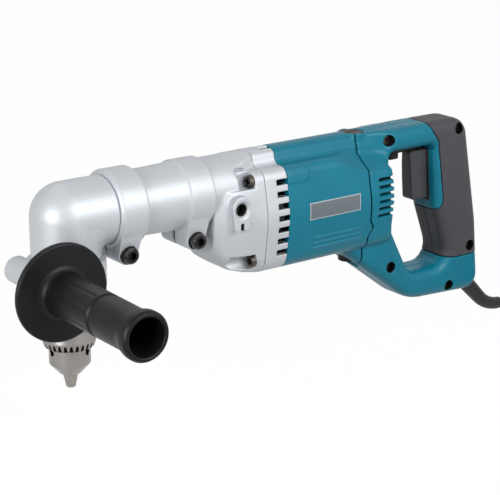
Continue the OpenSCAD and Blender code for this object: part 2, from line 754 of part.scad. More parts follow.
// Gear shaft places across the drill
first_centres = first_module * (motor_pinion_teeth + first_gear_teeth) / 2;
second_centres = second_module * (second_pinion_teeth + output_gear_teeth) / 2;
mid_shaft_z = -(motor_drop ^ 2 + second_centres ^ 2 - first_centres ^ 2) / (2 * motor_drop);
mid_shaft_y = sqrt(second_centres ^ 2 - mid_shaft_z ^ 2);
case_wall = 11;
second_x = case_x + case_wall + overrun;
first_x = second_x + second_face + 3 * overrun;
gear_room = 1;
mid_shaft_d = 8;
box_wall = 8.5;
screw_shares = [[-0.676, 0.085], [-0.75, 0.835]];
screw_set = 10;
screw_x = vent_x - screw_set;
screw_d = 5;
screw_head_d = 10.5;
screw_head_h = 3.6;
// Length of the upper and lower pockets in front of the screws, and their room round the heads
pocket_lens = [14, 24];
pocket_rooms = [0.6, 2];
function pocket_r(i) = screw_head_d / 2 + pocket_rooms[i];
function screw_place(i) = [0, screw_shares[i][0] * body_half, shoulder_top - screw_shares[i][1] * body_tall];
module at_motor() translate([0, 0, -motor_drop]) children();
module at_mid_shaft() translate([0, mid_shaft_y, mid_shaft_z]) children();
module at_screws() both_sides() for (i = [0, 1]) translate(screw_place(i)) children();

// Gear case: a round nose on a body with a sloping chin, a ledge on each side and open screw pockets
chin_shares = [[0, 0.72, 0.68], [0.14, 0.88, 0.8], [0.4, 0.97, 0.905], [0.7, 1, 0.965], [1, 1, 1]];
ledge_top = 2.2;
nose_end = screw_x - pocket_lens[0];
bearing_lip = 1.6;
case_rings = [for (s = chin_shares)
  [for (p = rounded(body_corners))
    [case_x + case_len * s[0], p[0] * s[1], max(p[1], ledge_top) + min(p[1] - ledge_top, 0) * s[2]]]];
module case_block() difference() {
  loft(case_rings);
  translate([case_x - overrun, -body_w, ledge_top])
    cube([nose_end - case_x + overrun, 2 * body_w, ridge_top]);
  both_sides() translate([case_x, -body_w, ledge_top])
    cube([screw_x - case_x, body_w + screw_place(0)[1] + pocket_r(0), ridge_top]);
}

// Handle sockets: a tapering boss with a threaded hole, and a slot below it that stops the handle
boss_d = 22;
boss_tail = 17;
boss_tail_w = 14;
boss_round_share = 0.84;
boss_deep = 14;
tail_round = 2.5;
socket_depth = 12.5;
socket_mouth = 2.4;
socket_mouth_d = 15;
socket_back_share = 0.39;
socket_drop = 11.5;
socket_x = case_x + case_len * socket_back_share + boss_rise / 2;
tap_share = 0.85;
stop_w = 3.4;
stop_h = 6;
stop_deep = 2;
stop_drop = 14;
module socket_boss() slab(-body_half - boss_rise + boss_deep / 2, boss_deep)
  polygon(rounded([
    [socket_x - boss_d / 2, boss_d / 2 - socket_drop, boss_d / 2 * boss_round_share],
    [socket_x + boss_d / 2, boss_d / 2 - socket_drop, boss_d / 2 * boss_round_share],
    [socket_x + boss_tail_w / 2, -socket_drop - boss_tail, tail_round],
    [socket_x - boss_tail_w / 2, -socket_drop - boss_tail, tail_round],
  ]));
module socket_hole() {
  translate([socket_x, -body_half - boss_rise - overrun, -socket_drop]) rotate([-90, 0, 0])
    cylinder(d = socket_d * tap_share, h = socket_depth + overrun);
  translate([socket_x, -body_half - boss_rise, -socket_drop]) rotate([-90, 0, 0])
    cylinder(d1 = socket_mouth_d, d2 = socket_d * tap_share, h = socket_mouth);
  translate([socket_x - stop_w / 2, -body_half - boss_rise - overrun, -socket_drop - stop_drop - stop_h / 2])
    cube([stop_w, stop_deep + overrun, stop_h]);
}
module gear_case() color("silver") place() difference() {
  union() {
    case_block();
    along_x(case_x) cylinder(d = nose_d, h = nose_end - case_x);
    along_x(case_x - collar_len) cylinder(d = collar_d, h = collar_len + overrun);
    both_sides() socket_boss();
  }
  along_x(case_x - collar_len - overrun) cylinder(d = bearing_od + 2 * run_fit, h = bearing_w + overrun);
  along_x(case_x - collar_len)
    cylinder(d = bearing_od - 2 * bearing_lip, h = collar_len + case_wall + overrun);
  across_x(case_x + case_wall, case_len)
    circle(d = second_module * (output_gear_teeth + 2) + 2 * gear_room);
  across_x(case_x + case_wall, case_len) translate([mid_shaft_y, mid_shaft_z])
    circle(d = second_module * (second_pinion_teeth + 2) + 2 * gear_room);
  across_x(first_x - gear_room, case_len) translate([mid_shaft_y, mid_shaft_z])
    circle(d = first_module * (first_gear_teeth + 2) + 2 * gear_room);
  across_x(first_x - gear_room, case_len) translate([0, -motor_drop])
    circle(d = small_od);
  at_mid_shaft() along_x(case_x + gear_room) cylinder(d = mid_shaft_d + 2 * run_fit, h = case_wall);
  both_sides() socket_hole();
  at_screws() along_x(nose_end) cylinder(d = screw_d + 2 * loose_fit, h = case_len);
  both_sides() for (i = [0, 1]) translate(screw_place(i)) along_x(screw_x - pocket_lens[i])
    cylinder(r = pocket_r(i), h = pocket_lens[i]);
}

// Bearing box behind the gear case, with the fan chamber and its vents
vent_pitch_share = 0.112;
vent_h_share = 0.48;
vent_first = 1;
vent_depth = 11;
vent_in = 9;
ridge_vent_w = 4;
ridge_vent_y = 6;
vent_pitch = body_tall * vent_pitch_share;
module bearing_box() color("silver") place() difference() {
  across_x(vent_x, vent_len) body_section();
  along_x(vent_x - overrun) cylinder(d = small_od + 2 * run_fit, h = small_w + 2 * overrun);
  along_x(vent_x) cylinder(d = small_bore + 4 * overrun, h = box_wall + overrun);
  at_motor() along_x(vent_x - overrun) cylinder(d = small_od + 2 * run_fit, h = small_w + 2 * overrun);
  at_motor() along_x(vent_x) cylinder(d = small_bore + 4 * overrun, h = box_wall + overrun);
  at_mid_shaft() along_x(vent_x - overrun) cylinder(d = mid_shaft_d + 2 * run_fit, h = small_w + overrun);
  at_motor() along_x(vent_x + box_wall) cylinder(d = fan_d + 4 * overrun, h = vent_len);
  both_sides() for (i = [0 : vent_count - 1])
    translate([vent_x + vent_len - vent_depth, -body_half - overrun, vent_first - vent_pitch * i])
      cube([vent_depth + overrun, body_half - vent_in, vent_pitch * vent_h_share]);
  both_sides() translate([vent_x + vent_len - vent_depth, -ridge_vent_y, shoulder_top])
    cube([vent_depth + overrun, ridge_vent_w, ridge_top]);
  at_screws() along_x(vent_x - overrun) cylinder(d = screw_d + 2 * loose_fit, h = vent_len + 2 * overrun);
}

// Pan head screws that hold the gear case and the bearing box to the motor housing
screw_bite = 14;
module case_screws() color("#1c1c1e") place() at_screws() difference() {
  union() {
    along_x(screw_x) cylinder(d = screw_d, h = motor_x + screw_bite - screw_x);
    along_x(screw_x - screw_head_h)
      cylinder(d1 = screw_head_d - 2 * overrun, d2 = screw_head_d, h = screw_head_h);
  }
  across_x(screw_x - screw_head_h - overrun, screw_head_h) {
    square([screw_d, screw_head_h / 3], center = true);
    square([screw_head_h / 3, screw_d], center = true);
  }
}

// Bearings of the output shaft
module output_bearing() color("lightsteelblue") place() {
  along_x(case_x - collar_len) bearing(bearing_bore, bearing_od, bearing_w);
  along_x(vent_x) bearing(small_bore, small_od, small_w);
}

// Output shaft with the serrated socket that drives the elbow
socket_wall_r = 10.5;
socket_start = drive_x + overrun;
socket_len = drive_len + 2 * overrun;
module output_shaft() color("lightgray") place() difference() {
  union() {
    along_x(socket_start) cylinder(r = socket_wall_r, h = socket_len + 2 * overrun);
    along_x(socket_start) cylinder(d = bearing_bore, h = vent_x - seam_gap - socket_start);
    along_x(vent_x - overrun) cylinder(d = small_bore, h = small_w + overrun);
  }
  along_x(socket_start - overrun) linear_extrude(socket_len + overrun)
    polygon(serration(serration_r + loose_fit));
}
module output_gear() color("dimgray") place() difference() {
  across_x(second_x, second_face) rotate(mid_angle) spur(output_gear_teeth, second_module);
  along_x(second_x - overrun) cylinder(d = bearing_bore + 2 * run_fit, h = second_face + 2 * overrun);
}

// Angle from the output axis to the intermediate axis, in the plane across the drill
mid_angle = atan2(mid_shaft_z, mid_shaft_y);
first_angle = atan2(-motor_drop - mid_shaft_z, -mid_shaft_y);

// Intermediate shaft with its small gear, and the large gear pressed on it
module intermediate_shaft() color("lightgray") place() at_mid_shaft() {
  along_x(case_x + gear_room + seam_gap)
    cylinder(d = mid_shaft_d, h = vent_x + small_w - case_x - gear_room - 2 * seam_gap);
  across_x(second_x, second_face + overrun)
    rotate(mid_angle + 180 + 180 / second_pinion_teeth) spur(second_pinion_teeth, second_module);
}
module intermediate_gear() color("dimgray") place() at_mid_shaft() difference() {
  across_x(first_x, first_face) rotate(first_angle + 180 / first_gear_teeth)
    spur(first_gear_teeth, first_module);
  along_x(first_x - overrun) cylinder(d = mid_shaft_d + 2 * run_fit, h = first_face + 2 * overrun);
}

// Motor housing: a moulded barrel with a top ridge, a pad, ribs and the front of the handle's leg
field_d = body_w - 2 * housing_wall;
pole_gap = 1;
armature_d = field_d * field_bore_share - 2 * pole_gap;
fan_room = 2;
fan_d = field_d - 2 * fan_room;
field_lead = 6;
armature_over = 7;
field_x = motor_x + field_lead;
field_end = field_x + field_len;
bore_end = field_end + armature_over + overrun;
brush_set = 4.2;
commutator_len = 14;
brush_x = seam_x + brush_set;
rear_wall_x = brush_x + commutator_len / 2 + 2 * overrun;
rear_tube_wall = 7;
rear_tube_d = small_od + 2 * rear_tube_wall;
rear_tube_end = rear_wall_x + small_w;
brush_room = 1.5;
pad_rise = 1;
pad_len = 22;
pad_low = 1;
pad_high = 12.5;
pad_round = 5;
rib_w = 1.2;
rib_len = 52;
rib_level_shares = [0.74, 0.79, 0.84];
rib_start = 26;
brush_cap_h = 5;
cap_top = ridge_top - overrun;
cap_proud = 14;
cap_bottom = belly_drop + cap_proud;
leg_top_share = 0.5;
module motor_housing() color("#1f7f8c") place() difference() {
  union() {
    difference() {
      intersection() {
        across_x(motor_x, motor_len + seam_wave) body_section();
        before_seam(-seam_gap);
      }
      both_sides() scoop();
    }
    intersection() {
      both_sides() half_plate(handle_corners);
      before_seam(-seam_gap);
      translate([motor_x, -body_half, -handle_h])
        cube([2 * motor_len, body_w, handle_h - belly_drop * leg_top_share]);
    }
    at_motor() along_x(bore_end) cylinder(d = rear_tube_d, h = rear_tube_end - bore_end);
    intersection() {
      cap_boss();
      before_seam(-seam_gap);
    }
    both_sides() intersection() {
      across_x(motor_x, pad_len) body_section(-pad_rise);
      slab(-body_half, body_half) polygon(rounded([
        [motor_x - pad_len, pad_high, pad_round],
        [motor_x + pad_len, pad_high, pad_round],
        [motor_x + pad_len, pad_low, pad_round],
        [motor_x - pad_len, pad_low, pad_round],
      ]));
    }
    both_sides() for (s = rib_level_shares) intersection() {
      across_x(motor_x + rib_start, rib_len) body_section(-pad_rise);
      translate([motor_x, -body_w, shoulder_top - body_tall * s]) cube([motor_len, body_w, rib_w]);
    }
  }
  at_motor() {
    along_x(motor_x - overrun) cylinder(d = field_d + 2 * run_fit, h = bore_end - motor_x + overrun);
    along_x(bore_end - overrun)
      cylinder(d = commutator_d + 2 * brush_room, h = rear_wall_x - bore_end + overrun);
    along_x(rear_wall_x - overrun) cylinder(d = small_od + 2 * run_fit, h = small_w + 2 * overrun);
  }
  at_screws() along_x(motor_x - overrun) cylinder(d = screw_d + 2 * run_fit, h = screw_bite + 2 * overrun);
  brush_rooms();
}

// Scoop where the shoulder of the barrel falls away to the narrower handle
scoop_r = 149;
scoop_back = 24;
scoop_out = 76.6;
scoop_up = 107;
module scoop() difference() {
  translate([seam_x + scoop_back, -body_half - scoop_out, shoulder_top + scoop_up])
    sphere(r = scoop_r, $fn = 128);
  slab(0, ridge_w) square([4 * motor_len, handle_h]);
}

// Round boss that lets the upper cap lie flush in the ridge
cap_wall = 2.4;
module cap_boss() translate([brush_x, 0, shoulder_top])
  cylinder(d = brush_cap_d + 2 * cap_wall, h = cap_top + seam_gap - shoulder_top);

// Room for the brush holders and their caps, in the motor housing and in the handle
module brush_rooms() {
  translate([brush_x, 0, -motor_drop]) cylinder(d = holder_w + 2 * run_fit, h = motor_drop + ridge_top);
  translate([brush_x, 0, -cap_bottom]) cylinder(d = holder_w + 2 * run_fit, h = cap_bottom - motor_drop);
  translate([brush_x, 0, cap_top - brush_cap_h]) cylinder(d = brush_cap_d + 2 * run_fit, h = handle_t);
  translate([brush_x, 0, -cap_bottom - handle_t])
    cylinder(d = brush_cap_d + 2 * run_fit, h = handle_t + brush_cap_h);
}

// Laminated field core with two pole shoes
pole_angle_share = 0.72;
yoke_share = 0.45;
module field_core() color("slategray") place() at_motor() across_x(field_x, field_len) difference() {
  circle(d = field_d);
  circle(d = armature_d + 2 * pole_gap);
  intersection() {
    circle(d = field_d - (field_d - armature_d) * yoke_share);
    square([field_d, armature_d * pole_angle_share], center = true);
  }
}

// Copper coil ends at both faces of the field core
coil_over = 5;
module coil_end(x) across_x(x, coil_over) both_sides_flat() intersection() {
  difference() {
    circle(d = field_d - 2 * overrun);
    circle(d = armature_d + 4 * overrun);
  }
  translate([-field_d, armature_d * pole_angle_share / 2]) square([2 * field_d, field_d]);
}
module both_sides_flat() {
  children();
  mirror([0, 1]) children();
}
module field_coils() color("peru") place() at_motor() {
  coil_end(field_x - coil_over);
  coil_end(field_end);
}

// Armature: shaft with the motor pinion, wound core, commutator and fan
winding_shares = [0.7, 0.9];
winding_ds = armature_d * winding_shares;
commutator_x = brush_x - commutator_len / 2;
fan_x = vent_x + box_wall + overrun;
fan_len = 10;
fan_plate = 2;
fan_blades = 16;
blade_t = 1.6;
fan_hub_d = 16;
module armature_shaft() color("lightgray") place() at_motor() {
  across_x(first_x, vent_x - first_x - overrun) rotate(first_angle + 180)
    spur(motor_pinion_teeth, first_module);
  along_x(vent_x - 2 * overrun) cylinder(d = small_bore, h = rear_wall_x + small_w - vent_x + 2 * overrun);
}
module armature_core() color("saddlebrown") place() at_motor() difference() {
  union() {
    along_x(field_x) cylinder(d = armature_d, h = field_len);
    along_x(field_x - armature_over + overrun)
      cylinder(d1 = winding_ds[0], d2 = winding_ds[1], h = armature_over - overrun);
    along_x(field_end)
      cylinder(d1 = winding_ds[1], d2 = winding_ds[0], h = armature_over);
  }
  along_x(field_x - armature_over)
    cylinder(d = small_bore + 2 * run_fit, h = field_len + 3 * armature_over);
}
module commutator() color("chocolate") place() at_motor() difference() {
  along_x(commutator_x) cylinder(d = commutator_d, h = commutator_len);
  along_x(commutator_x - overrun) cylinder(d = small_bore + 2 * run_fit, h = commutator_len + 2 * overrun);
}
module fan() color("ivory") place() at_motor() difference() {
  union() {
    along_x(fan_x) cylinder(d = fan_d, h = fan_plate);
    along_x(fan_x) cylinder(d = fan_hub_d, h = fan_len);
    for (i = [0 : fan_blades - 1])
      rotate([360 * i / fan_blades, 0, 0])
        translate([fan_x + fan_plate - overrun, fan_hub_d / 2 + blade_t, -blade_t / 2])
          cube([fan_len - fan_plate + overrun, fan_d / 2 - fan_hub_d / 2 - 2 * blade_t, blade_t]);
  }
  along_x(fan_x - overrun) cylinder(d = small_bore + 2 * run_fit, h = fan_len + 2 * overrun);
}
module motor_bearings() color("lightsteelblue") place() at_motor() {
  along_x(vent_x) bearing(small_bore, small_od, small_w);
  along_x(rear_wall_x) bearing(small_bore, small_od, small_w);
}

// Brush gear above and below the commutator
holder_w = 12;
holder_wall = 2;
brush_gap = 0.3;
brush_len = 14;
brush_end = commutator_d / 2 + brush_gap;
module holder(to) translate([brush_x, 0, brush_end + 2 * overrun]) difference() {
  cylinder(d = holder_w, h = to - brush_end - 2 * overrun);
  translate([0, 0, -overrun]) cylinder(d = holder_w - 2 * holder_wall, h = to);
}
module brush_holders() color("goldenrod") place() at_motor() {
  holder(motor_drop + cap_top - brush_cap_h - seam_gap);
  rotate([180, 0, 0]) holder(cap_bottom - motor_drop - brush_cap_h - seam_gap);
}
module carbon_brushes() color("#333333") place() at_motor() {
  translate([brush_x, 0, brush_end]) cylinder(d = holder_w - 2 * holder_wall - 2 * run_fit, h = brush_len);
  translate([brush_x, 0, -brush_end - brush_len])
    cylinder(d = holder_w - 2 * holder_wall - 2 * run_fit, h = brush_len);
}
module brush_cap() difference() {
  cylinder(d = brush_cap_d, h = brush_cap_h);
  translate([-brush_cap_d / 3, -overrun, brush_cap_h - overrun])
    cube([brush_cap_d * 2 / 3, 2 * overrun, 2 * overrun]);
}
module brush_caps() color("#1c1c1e") place() {
  translate([brush_x, 0, cap_top - brush_cap_h]) brush_cap();
  translate([brush_x, 0, -cap_bottom + brush_cap_h]) rotate([180, 0, 0]) brush_cap();
}

// Bare plate on the left side of the motor housing
plate_x = 20;
plate_len = 54;
plate_h = 14.5;
plate_drop = 18;
plate_t = 0.6;
module name_plate() color("#8d9196") place() intersection() {
  across_x(motor_x + plate_x, plate_len) difference() {
    body_section(-plate_t - run_fit);
    body_section(-run_fit);
  }
  translate([motor_x, -body_w, -plate_drop - plate_h]) cube([motor_len, body_w, plate_h]);
}

// Handle halves: the tapering rear of the motor barrel and the D frame
barrel_shares = [[-0.08, 1], [0.147, 1], [0.217, 0.93], [0.262, 0.72], [0.297, 0.5]];
// Half section, from the middle of the ridge down the left side
function half_section(x, w) =
  let(p = rounded(inset(body_corners, 0)), left = [for (q = p) if (q[0] < 0) q])
  concat([[x, 0, ridge_top]], [for (i = [len(left) - 1 : -1 : 0]) [x, left[i][0] * w, left[i][1]]],
    [[x, 0, -belly_drop]]);
cover_shares = [[0.527, -0.1], [0.527, 0.005], [0.56, 0.06], [0.604, 0.108], [0.63, 0.27], [0.6535, 0.425],
  [0.648, 0.458], [0.628, 0.478], [0.598, 0.487], [0.55, 0.491], [0.477, 0.495], [0.477, 0.7], [0.587, 0.724],
  [0.677, 0.752], [0.777, 0.762], [1.2, 0.768], [1.2, -0.1]];
function cover_point(p) = [seam_x + p[0] * handle_len, ridge_top - p[1] * handle_h];
module cover_region(d) offset(delta = d) polygon([for (p = cover_shares) cover_point(p)]);
handle_screw_shares = [[0.222, 0.06], [0.25, 0.732], [0.727, 0.915], [0.762, 0.06], [0.89, 0.715]];
handle_screw_head_d = 9;
handle_screw_d = 4;
handle_screw_sink = 8;
function screw_point(p) = [seam_x + p[0] * handle_len, 0, ridge_top - p[1] * handle_h];
handle_vent_count = 6;
handle_vent_len = 17;
handle_vent_h = 2.6;
handle_vent_deep = 7;
handle_vent_pitch = 6.3;
handle_vent_drop = 12.5;
switch_share = 0.678;
trigger_share = 0.449;
lever_share = 0.55;
switch_x = seam_x + switch_share * handle_len;
switch_len = 30;
switch_w = 22;
switch_h = 46;
switch_top = 2;
trigger_front = seam_x + trigger_share * handle_len;
trigger_back = switch_x - trigger_travel - 2 * overrun;
trigger_h = 45;
trigger_top = 0.5;
lever_pivot_x = seam_x + lever_share * handle_len;
lever_pivot_d = 6;
lever_t = 3;
lever_len = 38;
lever_z = trigger_top + 2 * seam_gap;
lever_swing = 8;
lever_end_w = 12;
lever_tab_len = 12;
lever_tab_drop = 5;
lever_room_w = 28.8;
module at_guard() translate(guard_exit) rotate([0, 180 - guard_tilt, 0]) children();

// Everything that the two halves leave free inside: switch, trigger, lever, guard and screws
module handle_rooms() {
  translate([switch_x - loose_fit, -switch_w / 2 - loose_fit, switch_top - switch_h - loose_fit])
    cube([switch_len + 2 * loose_fit, switch_w + 2 * loose_fit, switch_h + 2 * loose_fit]);
  translate([trigger_front, -trigger_w / 2 - loose_fit, trigger_top - trigger_h - loose_fit])
    cube([switch_x - trigger_front, trigger_w + 2 * loose_fit, trigger_h + 2 * loose_fit]);
  translate([lever_pivot_x - lever_len, -lever_room_w / 2, trigger_top])
    cube([lever_len + lever_pivot_d, lever_room_w, lever_t + lever_z - trigger_top + seam_gap]);
  translate([lever_pivot_x, 0, trigger_top]) cylinder(d = lever_pivot_d + 2 * loose_fit, h = lever_t * 4);
  at_guard() translate([0, 0, -guard_seat]) cylinder(r = guard_root_r + run_fit, h = guard_seat * 3);
  at_guard() translate([0, 0, -guard_seat - guard_flange])
    cylinder(r = guard_flange_r + run_fit, h = guard_flange);
  at_guard() translate([0, 0, -guard_seat - guard_flange - 2 * clamp_plate - loose_fit])
    cylinder(r = guard_root_r + loose_fit, h = 2 * clamp_plate + 2 * loose_fit);
  at_motor() along_x(bore_end)
    cylinder(d = rear_tube_d + 2 * loose_fit, h = rear_tube_end + loose_fit - bore_end);
  brush_rooms();
}
// The top arm leaves the ridge at the width of its crown and swells to the handle's thickness
arm_swell_r = 80;
arm_waist = ridge_half * ridge_edge_shares[0];
module handle_half() difference() {
  union() {
    difference() {
      half_plate(handle_corners);
      translate([seam_x, -arm_waist - arm_swell_r, 0]) cylinder(r = arm_swell_r, h = handle_t, $fn = 128);
    }
    difference() {
      loft([for (s = barrel_shares) half_section(seam_x + s[0] * handle_len, s[1])], flip = true);
      scoop();
    }
    intersection() {
      cap_boss();
      translate([motor_x, -body_w, 0]) cube([2 * motor_len, body_w, 2 * ridge_top]);
    }
  }
  half_opening(opening_corners);
  handle_rooms();
  before_seam(0);
  for (i = [0 : handle_vent_count - 1])
    translate([opening_corners[0][0] - handle_edge - handle_vent_len, -body_half - overrun,
      -handle_vent_drop - i * handle_vent_pitch])
      cube([handle_vent_len + handle_edge, handle_vent_deep + overrun, handle_vent_h]);
}
module screw_holes() for (p = handle_screw_shares) translate(screw_point(p)) rotate([90, 0, 0]) {
  translate([0, 0, -handle_half - overrun])
    cylinder(d = handle_screw_d + 2 * run_fit, h = handle_t + 2 * overrun);
  translate([0, 0, handle_half - handle_screw_sink])
    cylinder(d = handle_screw_head_d + 2 * loose_fit, h = handle_t);
}
module handle_left() color("#1f7f8c") place() difference() {
  handle_half();
  slab(0, 2 * body_w) cover_region(run_fit);
  screw_holes();
}
module handle_right() color("#1f7f8c") place() difference() {
  mirror([0, 1, 0]) handle_half();
  slab(0, 2 * body_w) cover_region(run_fit);
  screw_holes();
}
module grip_cover_left() color("#4b4a4e") place() difference() {
  intersection() {
    handle_half();
    slab(0, 2 * body_w) cover_region(-run_fit);
  }
  screw_holes();
}
module grip_cover_right() color("#4b4a4e") place() difference() {
  intersection() {
    mirror([0, 1, 0]) handle_half();
    slab(0, 2 * body_w) cover_region(-run_fit);
  }
  screw_holes();
}
module handle_screws() color("#1c1c1e") place()
  for (p = handle_screw_shares) translate(screw_point(p)) rotate([90, 0, 0]) {
    translate([0, 0, -handle_half + handle_screw_sink])
      cylinder(d = handle_screw_d, h = handle_t - 2 * handle_screw_sink);
    translate([0, 0, handle_half - handle_screw_sink])
      cylinder(d = handle_screw_head_d, h = handle_screw_d / 2);
  }

// Switch unit behind the trigger
module switch_unit() color("#2b2b2d") place()
  translate([switch_x, -switch_w / 2, switch_top - switch_h]) cube([switch_len, switch_w, switch_h]);

// Trigger: a rounded finger bar that slides back into the handle
trigger_round = 3;
trigger_edge = 3.5;
trigger_rake = 4;
module trigger() color("#232325") place() intersection() {
  slab(0, trigger_w + overrun) polygon(rounded([
    [trigger_front, trigger_top, trigger_round],
    [trigger_back, trigger_top, trigger_round / 4],
    [trigger_back, trigger_top - trigger_h, trigger_round / 4],
    [trigger_front + trigger_rake, trigger_top - trigger_h, trigger_round],
  ]));
  translate([0, 0, trigger_top - trigger_h - overrun]) linear_extrude(trigger_h + 2 * overrun)
    polygon(rounded([
      [trigger_front, -trigger_w / 2, trigger_edge],
      [trigger_front, trigger_w / 2, trigger_edge],
      [trigger_back + overrun, trigger_w / 2, trigger_edge / 4],
      [trigger_back + overrun, -trigger_w / 2, trigger_edge / 4],
    ]));
}

// Reversing lever above the trigger, on a pivot in the top arm
module reversing_lever() color("#232325") place() {
  translate([0, 0, lever_z]) linear_extrude(lever_t) polygon(rounded([
    [lever_pivot_x - lever_len, -lever_end_w / 2, lever_t],
    [lever_pivot_x - lever_len, lever_end_w / 2, lever_t],
    [lever_pivot_x + lever_pivot_d / 2, lever_pivot_d / 2, lever_t / 2],
    [lever_pivot_x + lever_pivot_d / 2, -lever_pivot_d / 2, lever_t / 2],
  ]));
  translate([lever_pivot_x, 0, lever_z]) cylinder(d = lever_pivot_d, h = lever_t * 3);
  translate([0, 0, lever_z - lever_tab_drop]) linear_extrude(lever_tab_drop + lever_t / 2)
    polygon(rounded([
      [lever_pivot_x - lever_len, -lever_end_w / 2, lever_t],
      [lever_pivot_x - lever_len, lever_end_w / 2, lever_t],
      [lever_pivot_x - lever_len + lever_tab_len, lever_end_w / 2 - lever_t / 2, lever_t],
      [lever_pivot_x - lever_len + lever_tab_len, lever_t / 2 - lever_end_w / 2, lever_t],
    ]));
}

// Clamp plate that holds the cord inside the handle
clamp_plate = 3;
module cord_clamp() color("#3a3a3c") place() at_guard()
  translate([0, 0, -guard_seat - guard_flange - 2 * clamp_plate])
    cylinder(r = guard_root_r, h = 2 * clamp_plate);

// Cord guard: a flanged root, a straight taper and a bend
function guard_ring(c, tilt, r, count) =
  [for (i = [0 : count - 1])
    let(a = 360 * i / count)
    c + r * [sin(tilt) * cos(a), sin(a), cos(tilt) * cos(a)]];
guard_sides = 20;
guard_rings = concat(
  [guard_ring(guard_exit - (guard_seat + overrun) * [cos(guard_tilt), 0, -sin(guard_tilt)], guard_tilt,
    guard_root_r, guard_sides)],
  [for (s = [0, 1])
    guard_ring(guard_exit + s * guard_straight * [cos(guard_tilt), 0, -sin(guard_tilt)], guard_tilt,
      guard_root_r + (guard_tip_r - guard_root_r) * s / 2, guard_sides)],
  [for (k = [1 : guard_bend_steps])
    let(t = guard_tilt * (1 - k / guard_bend_steps))
    guard_ring(guard_knee + guard_bend * [sin(guard_tilt) - sin(t), 0, cos(guard_tilt) - cos(t)], t,
      (guard_root_r + guard_tip_r) / 2 + (guard_tip_r - guard_root_r) * k / guard_bend_steps / 2, guard_sides)]
);
module cord_guard() color("#1f1f21") place() {
  loft(guard_rings);
  at_guard() translate([0, 0, -guard_seat - guard_flange]) cylinder(r = guard_flange_r, h = guard_flange);
}

// Cord: from the guard's tip along the floor to the coil, as offsets from the tip
cord_r = cord_d / 2;
cord_sides = 10;
coil_sides = 6;
coil_rings = 24;
tie_t = 1;
tie_room = 1.2;
tie_w = 10;
coil_lift = tie_t + tie_room / 2;
coil_gap = 0.57;
coil_turns = 7.5;
coil_out_r = 64.2;
coil_pitch = cord_d + coil_gap;
coil_rise = cord_d + coil_gap;
coil_offset = [68, -coil_out_r, cord_r + coil_lift - guard_tip_r];
coil_centre = guard_end + coil_offset;
lead_route = [[0, 0, 0], [10, 0, 0], [24, 0, -0.6], [38, 0, -0.6], [50, 0, 0.1], [60, 0, 0.1]];
tail_route = [[0, 0, 0], [-10, 0, 0], [-24, 0, -1], [-38, 0, -2.2], [-50, 0, -3.1], [-60, 0, -3.1]];

// Rings of a round tube along points
function tube_rings(p, r, count) =
  [for (i = [0 : len(p) - 1])
    let(
      t = unit(p[min(i + 1, len(p) - 1)] - p[max(i - 1, 0)]),
      side = unit(cross(t, [0, 0, 1])),
      up = cross(side, t)
    )
    [for (k = [0 : count - 1])
      let(a = 360 * k / count) p[i] + r * (side * cos(a) + up * sin(a))]];

// The coil spirals in on the floor and out again on top, and climbs in the half turn between
function coil_reach(n) = coil_out_r - coil_pitch * min(n, coil_turns - n);
function coil_level(n) =
  let(s = max(0, min(1, (n - (coil_turns - 0.5) / 2) * 2))) coil_rise * (1 - cos(180 * s)) / 2;
coil_path = [for (i = [0 : coil_turns * coil_rings])
  let(n = i / coil_rings, a = 90 - 360 * n)
  coil_centre + [coil_reach(n) * cos(a), coil_reach(n) * sin(a), coil_level(n)]];
coil_points = concat([coil_path[0] - [cord_d, 0, 0]], coil_path,
  [coil_path[len(coil_path) - 1] - [cord_d, 0, 0]]);
coil_end_point = coil_points[len(coil_points) - 1];
coil_self_gap = min([for (i = [0 : len(coil_path) - 1], k = [i + coil_rings / 2 : 1 : len(coil_path) - 1])
  norm(coil_path[i] - coil_path[k])]) - cord_d;
echo(coil_self_gap = coil_self_gap);

module power_cord() color("#1f1f21") place() {
  loft(tube_rings([for (p = lead_route) guard_end + p], cord_r, cord_sides));
  loft(tube_rings([for (p = tail_route) coil_end_point + p], cord_r, cord_sides));
}
module cord_coil() color("#1f1f21") place() loft(tube_rings(coil_points, cord_r, coil_sides));

// Strap round the bundle of turns
tie_in = coil_reach((coil_turns - 0.5) / 2 - 0.25) - cord_r - tie_room;
tie_out = coil_out_r + cord_r + tie_room;
tie_tall = coil_rise + cord_d + tie_room;
module cord_tie() color("#3a3a3c") place()
  translate(coil_centre + [tie_in, -tie_w / 2, -cord_r - tie_room / 2])
  difference() {
    translate([-tie_t, 0, -tie_t]) cube([tie_out - tie_in + 2 * tie_t, tie_w, tie_tall + 2 * tie_t]);
    translate([0, -overrun, 0]) cube([tie_out - tie_in, tie_w + 2 * overrun, tie_tall]);
  }

// Moulded plug with two flat blades
plug_r = 11;
plug_len = 34;
plug_neck_r = 6.5;
plug_neck = 14;
blade_len = 17;
blade_w = 6.4;
blade_thick = 1.5;
blade_space = 12.7;
plug_point = coil_end_point + tail_route[5];
module plug() color("#1f1f21") place() translate(plug_point) rotate([0, -90, 0]) {
  cylinder(r1 = plug_neck_r, r2 = plug_r, h = plug_neck);
  translate([0, 0, plug_neck]) cylinder(r = plug_r, h = plug_len - plug_neck);
  for (s = [-1, 1]) translate([-blade_w / 2, s * blade_space / 2 - blade_thick / 2, plug_len - overrun])
    cube([blade_w, blade_thick, blade_len + overrun]);
}

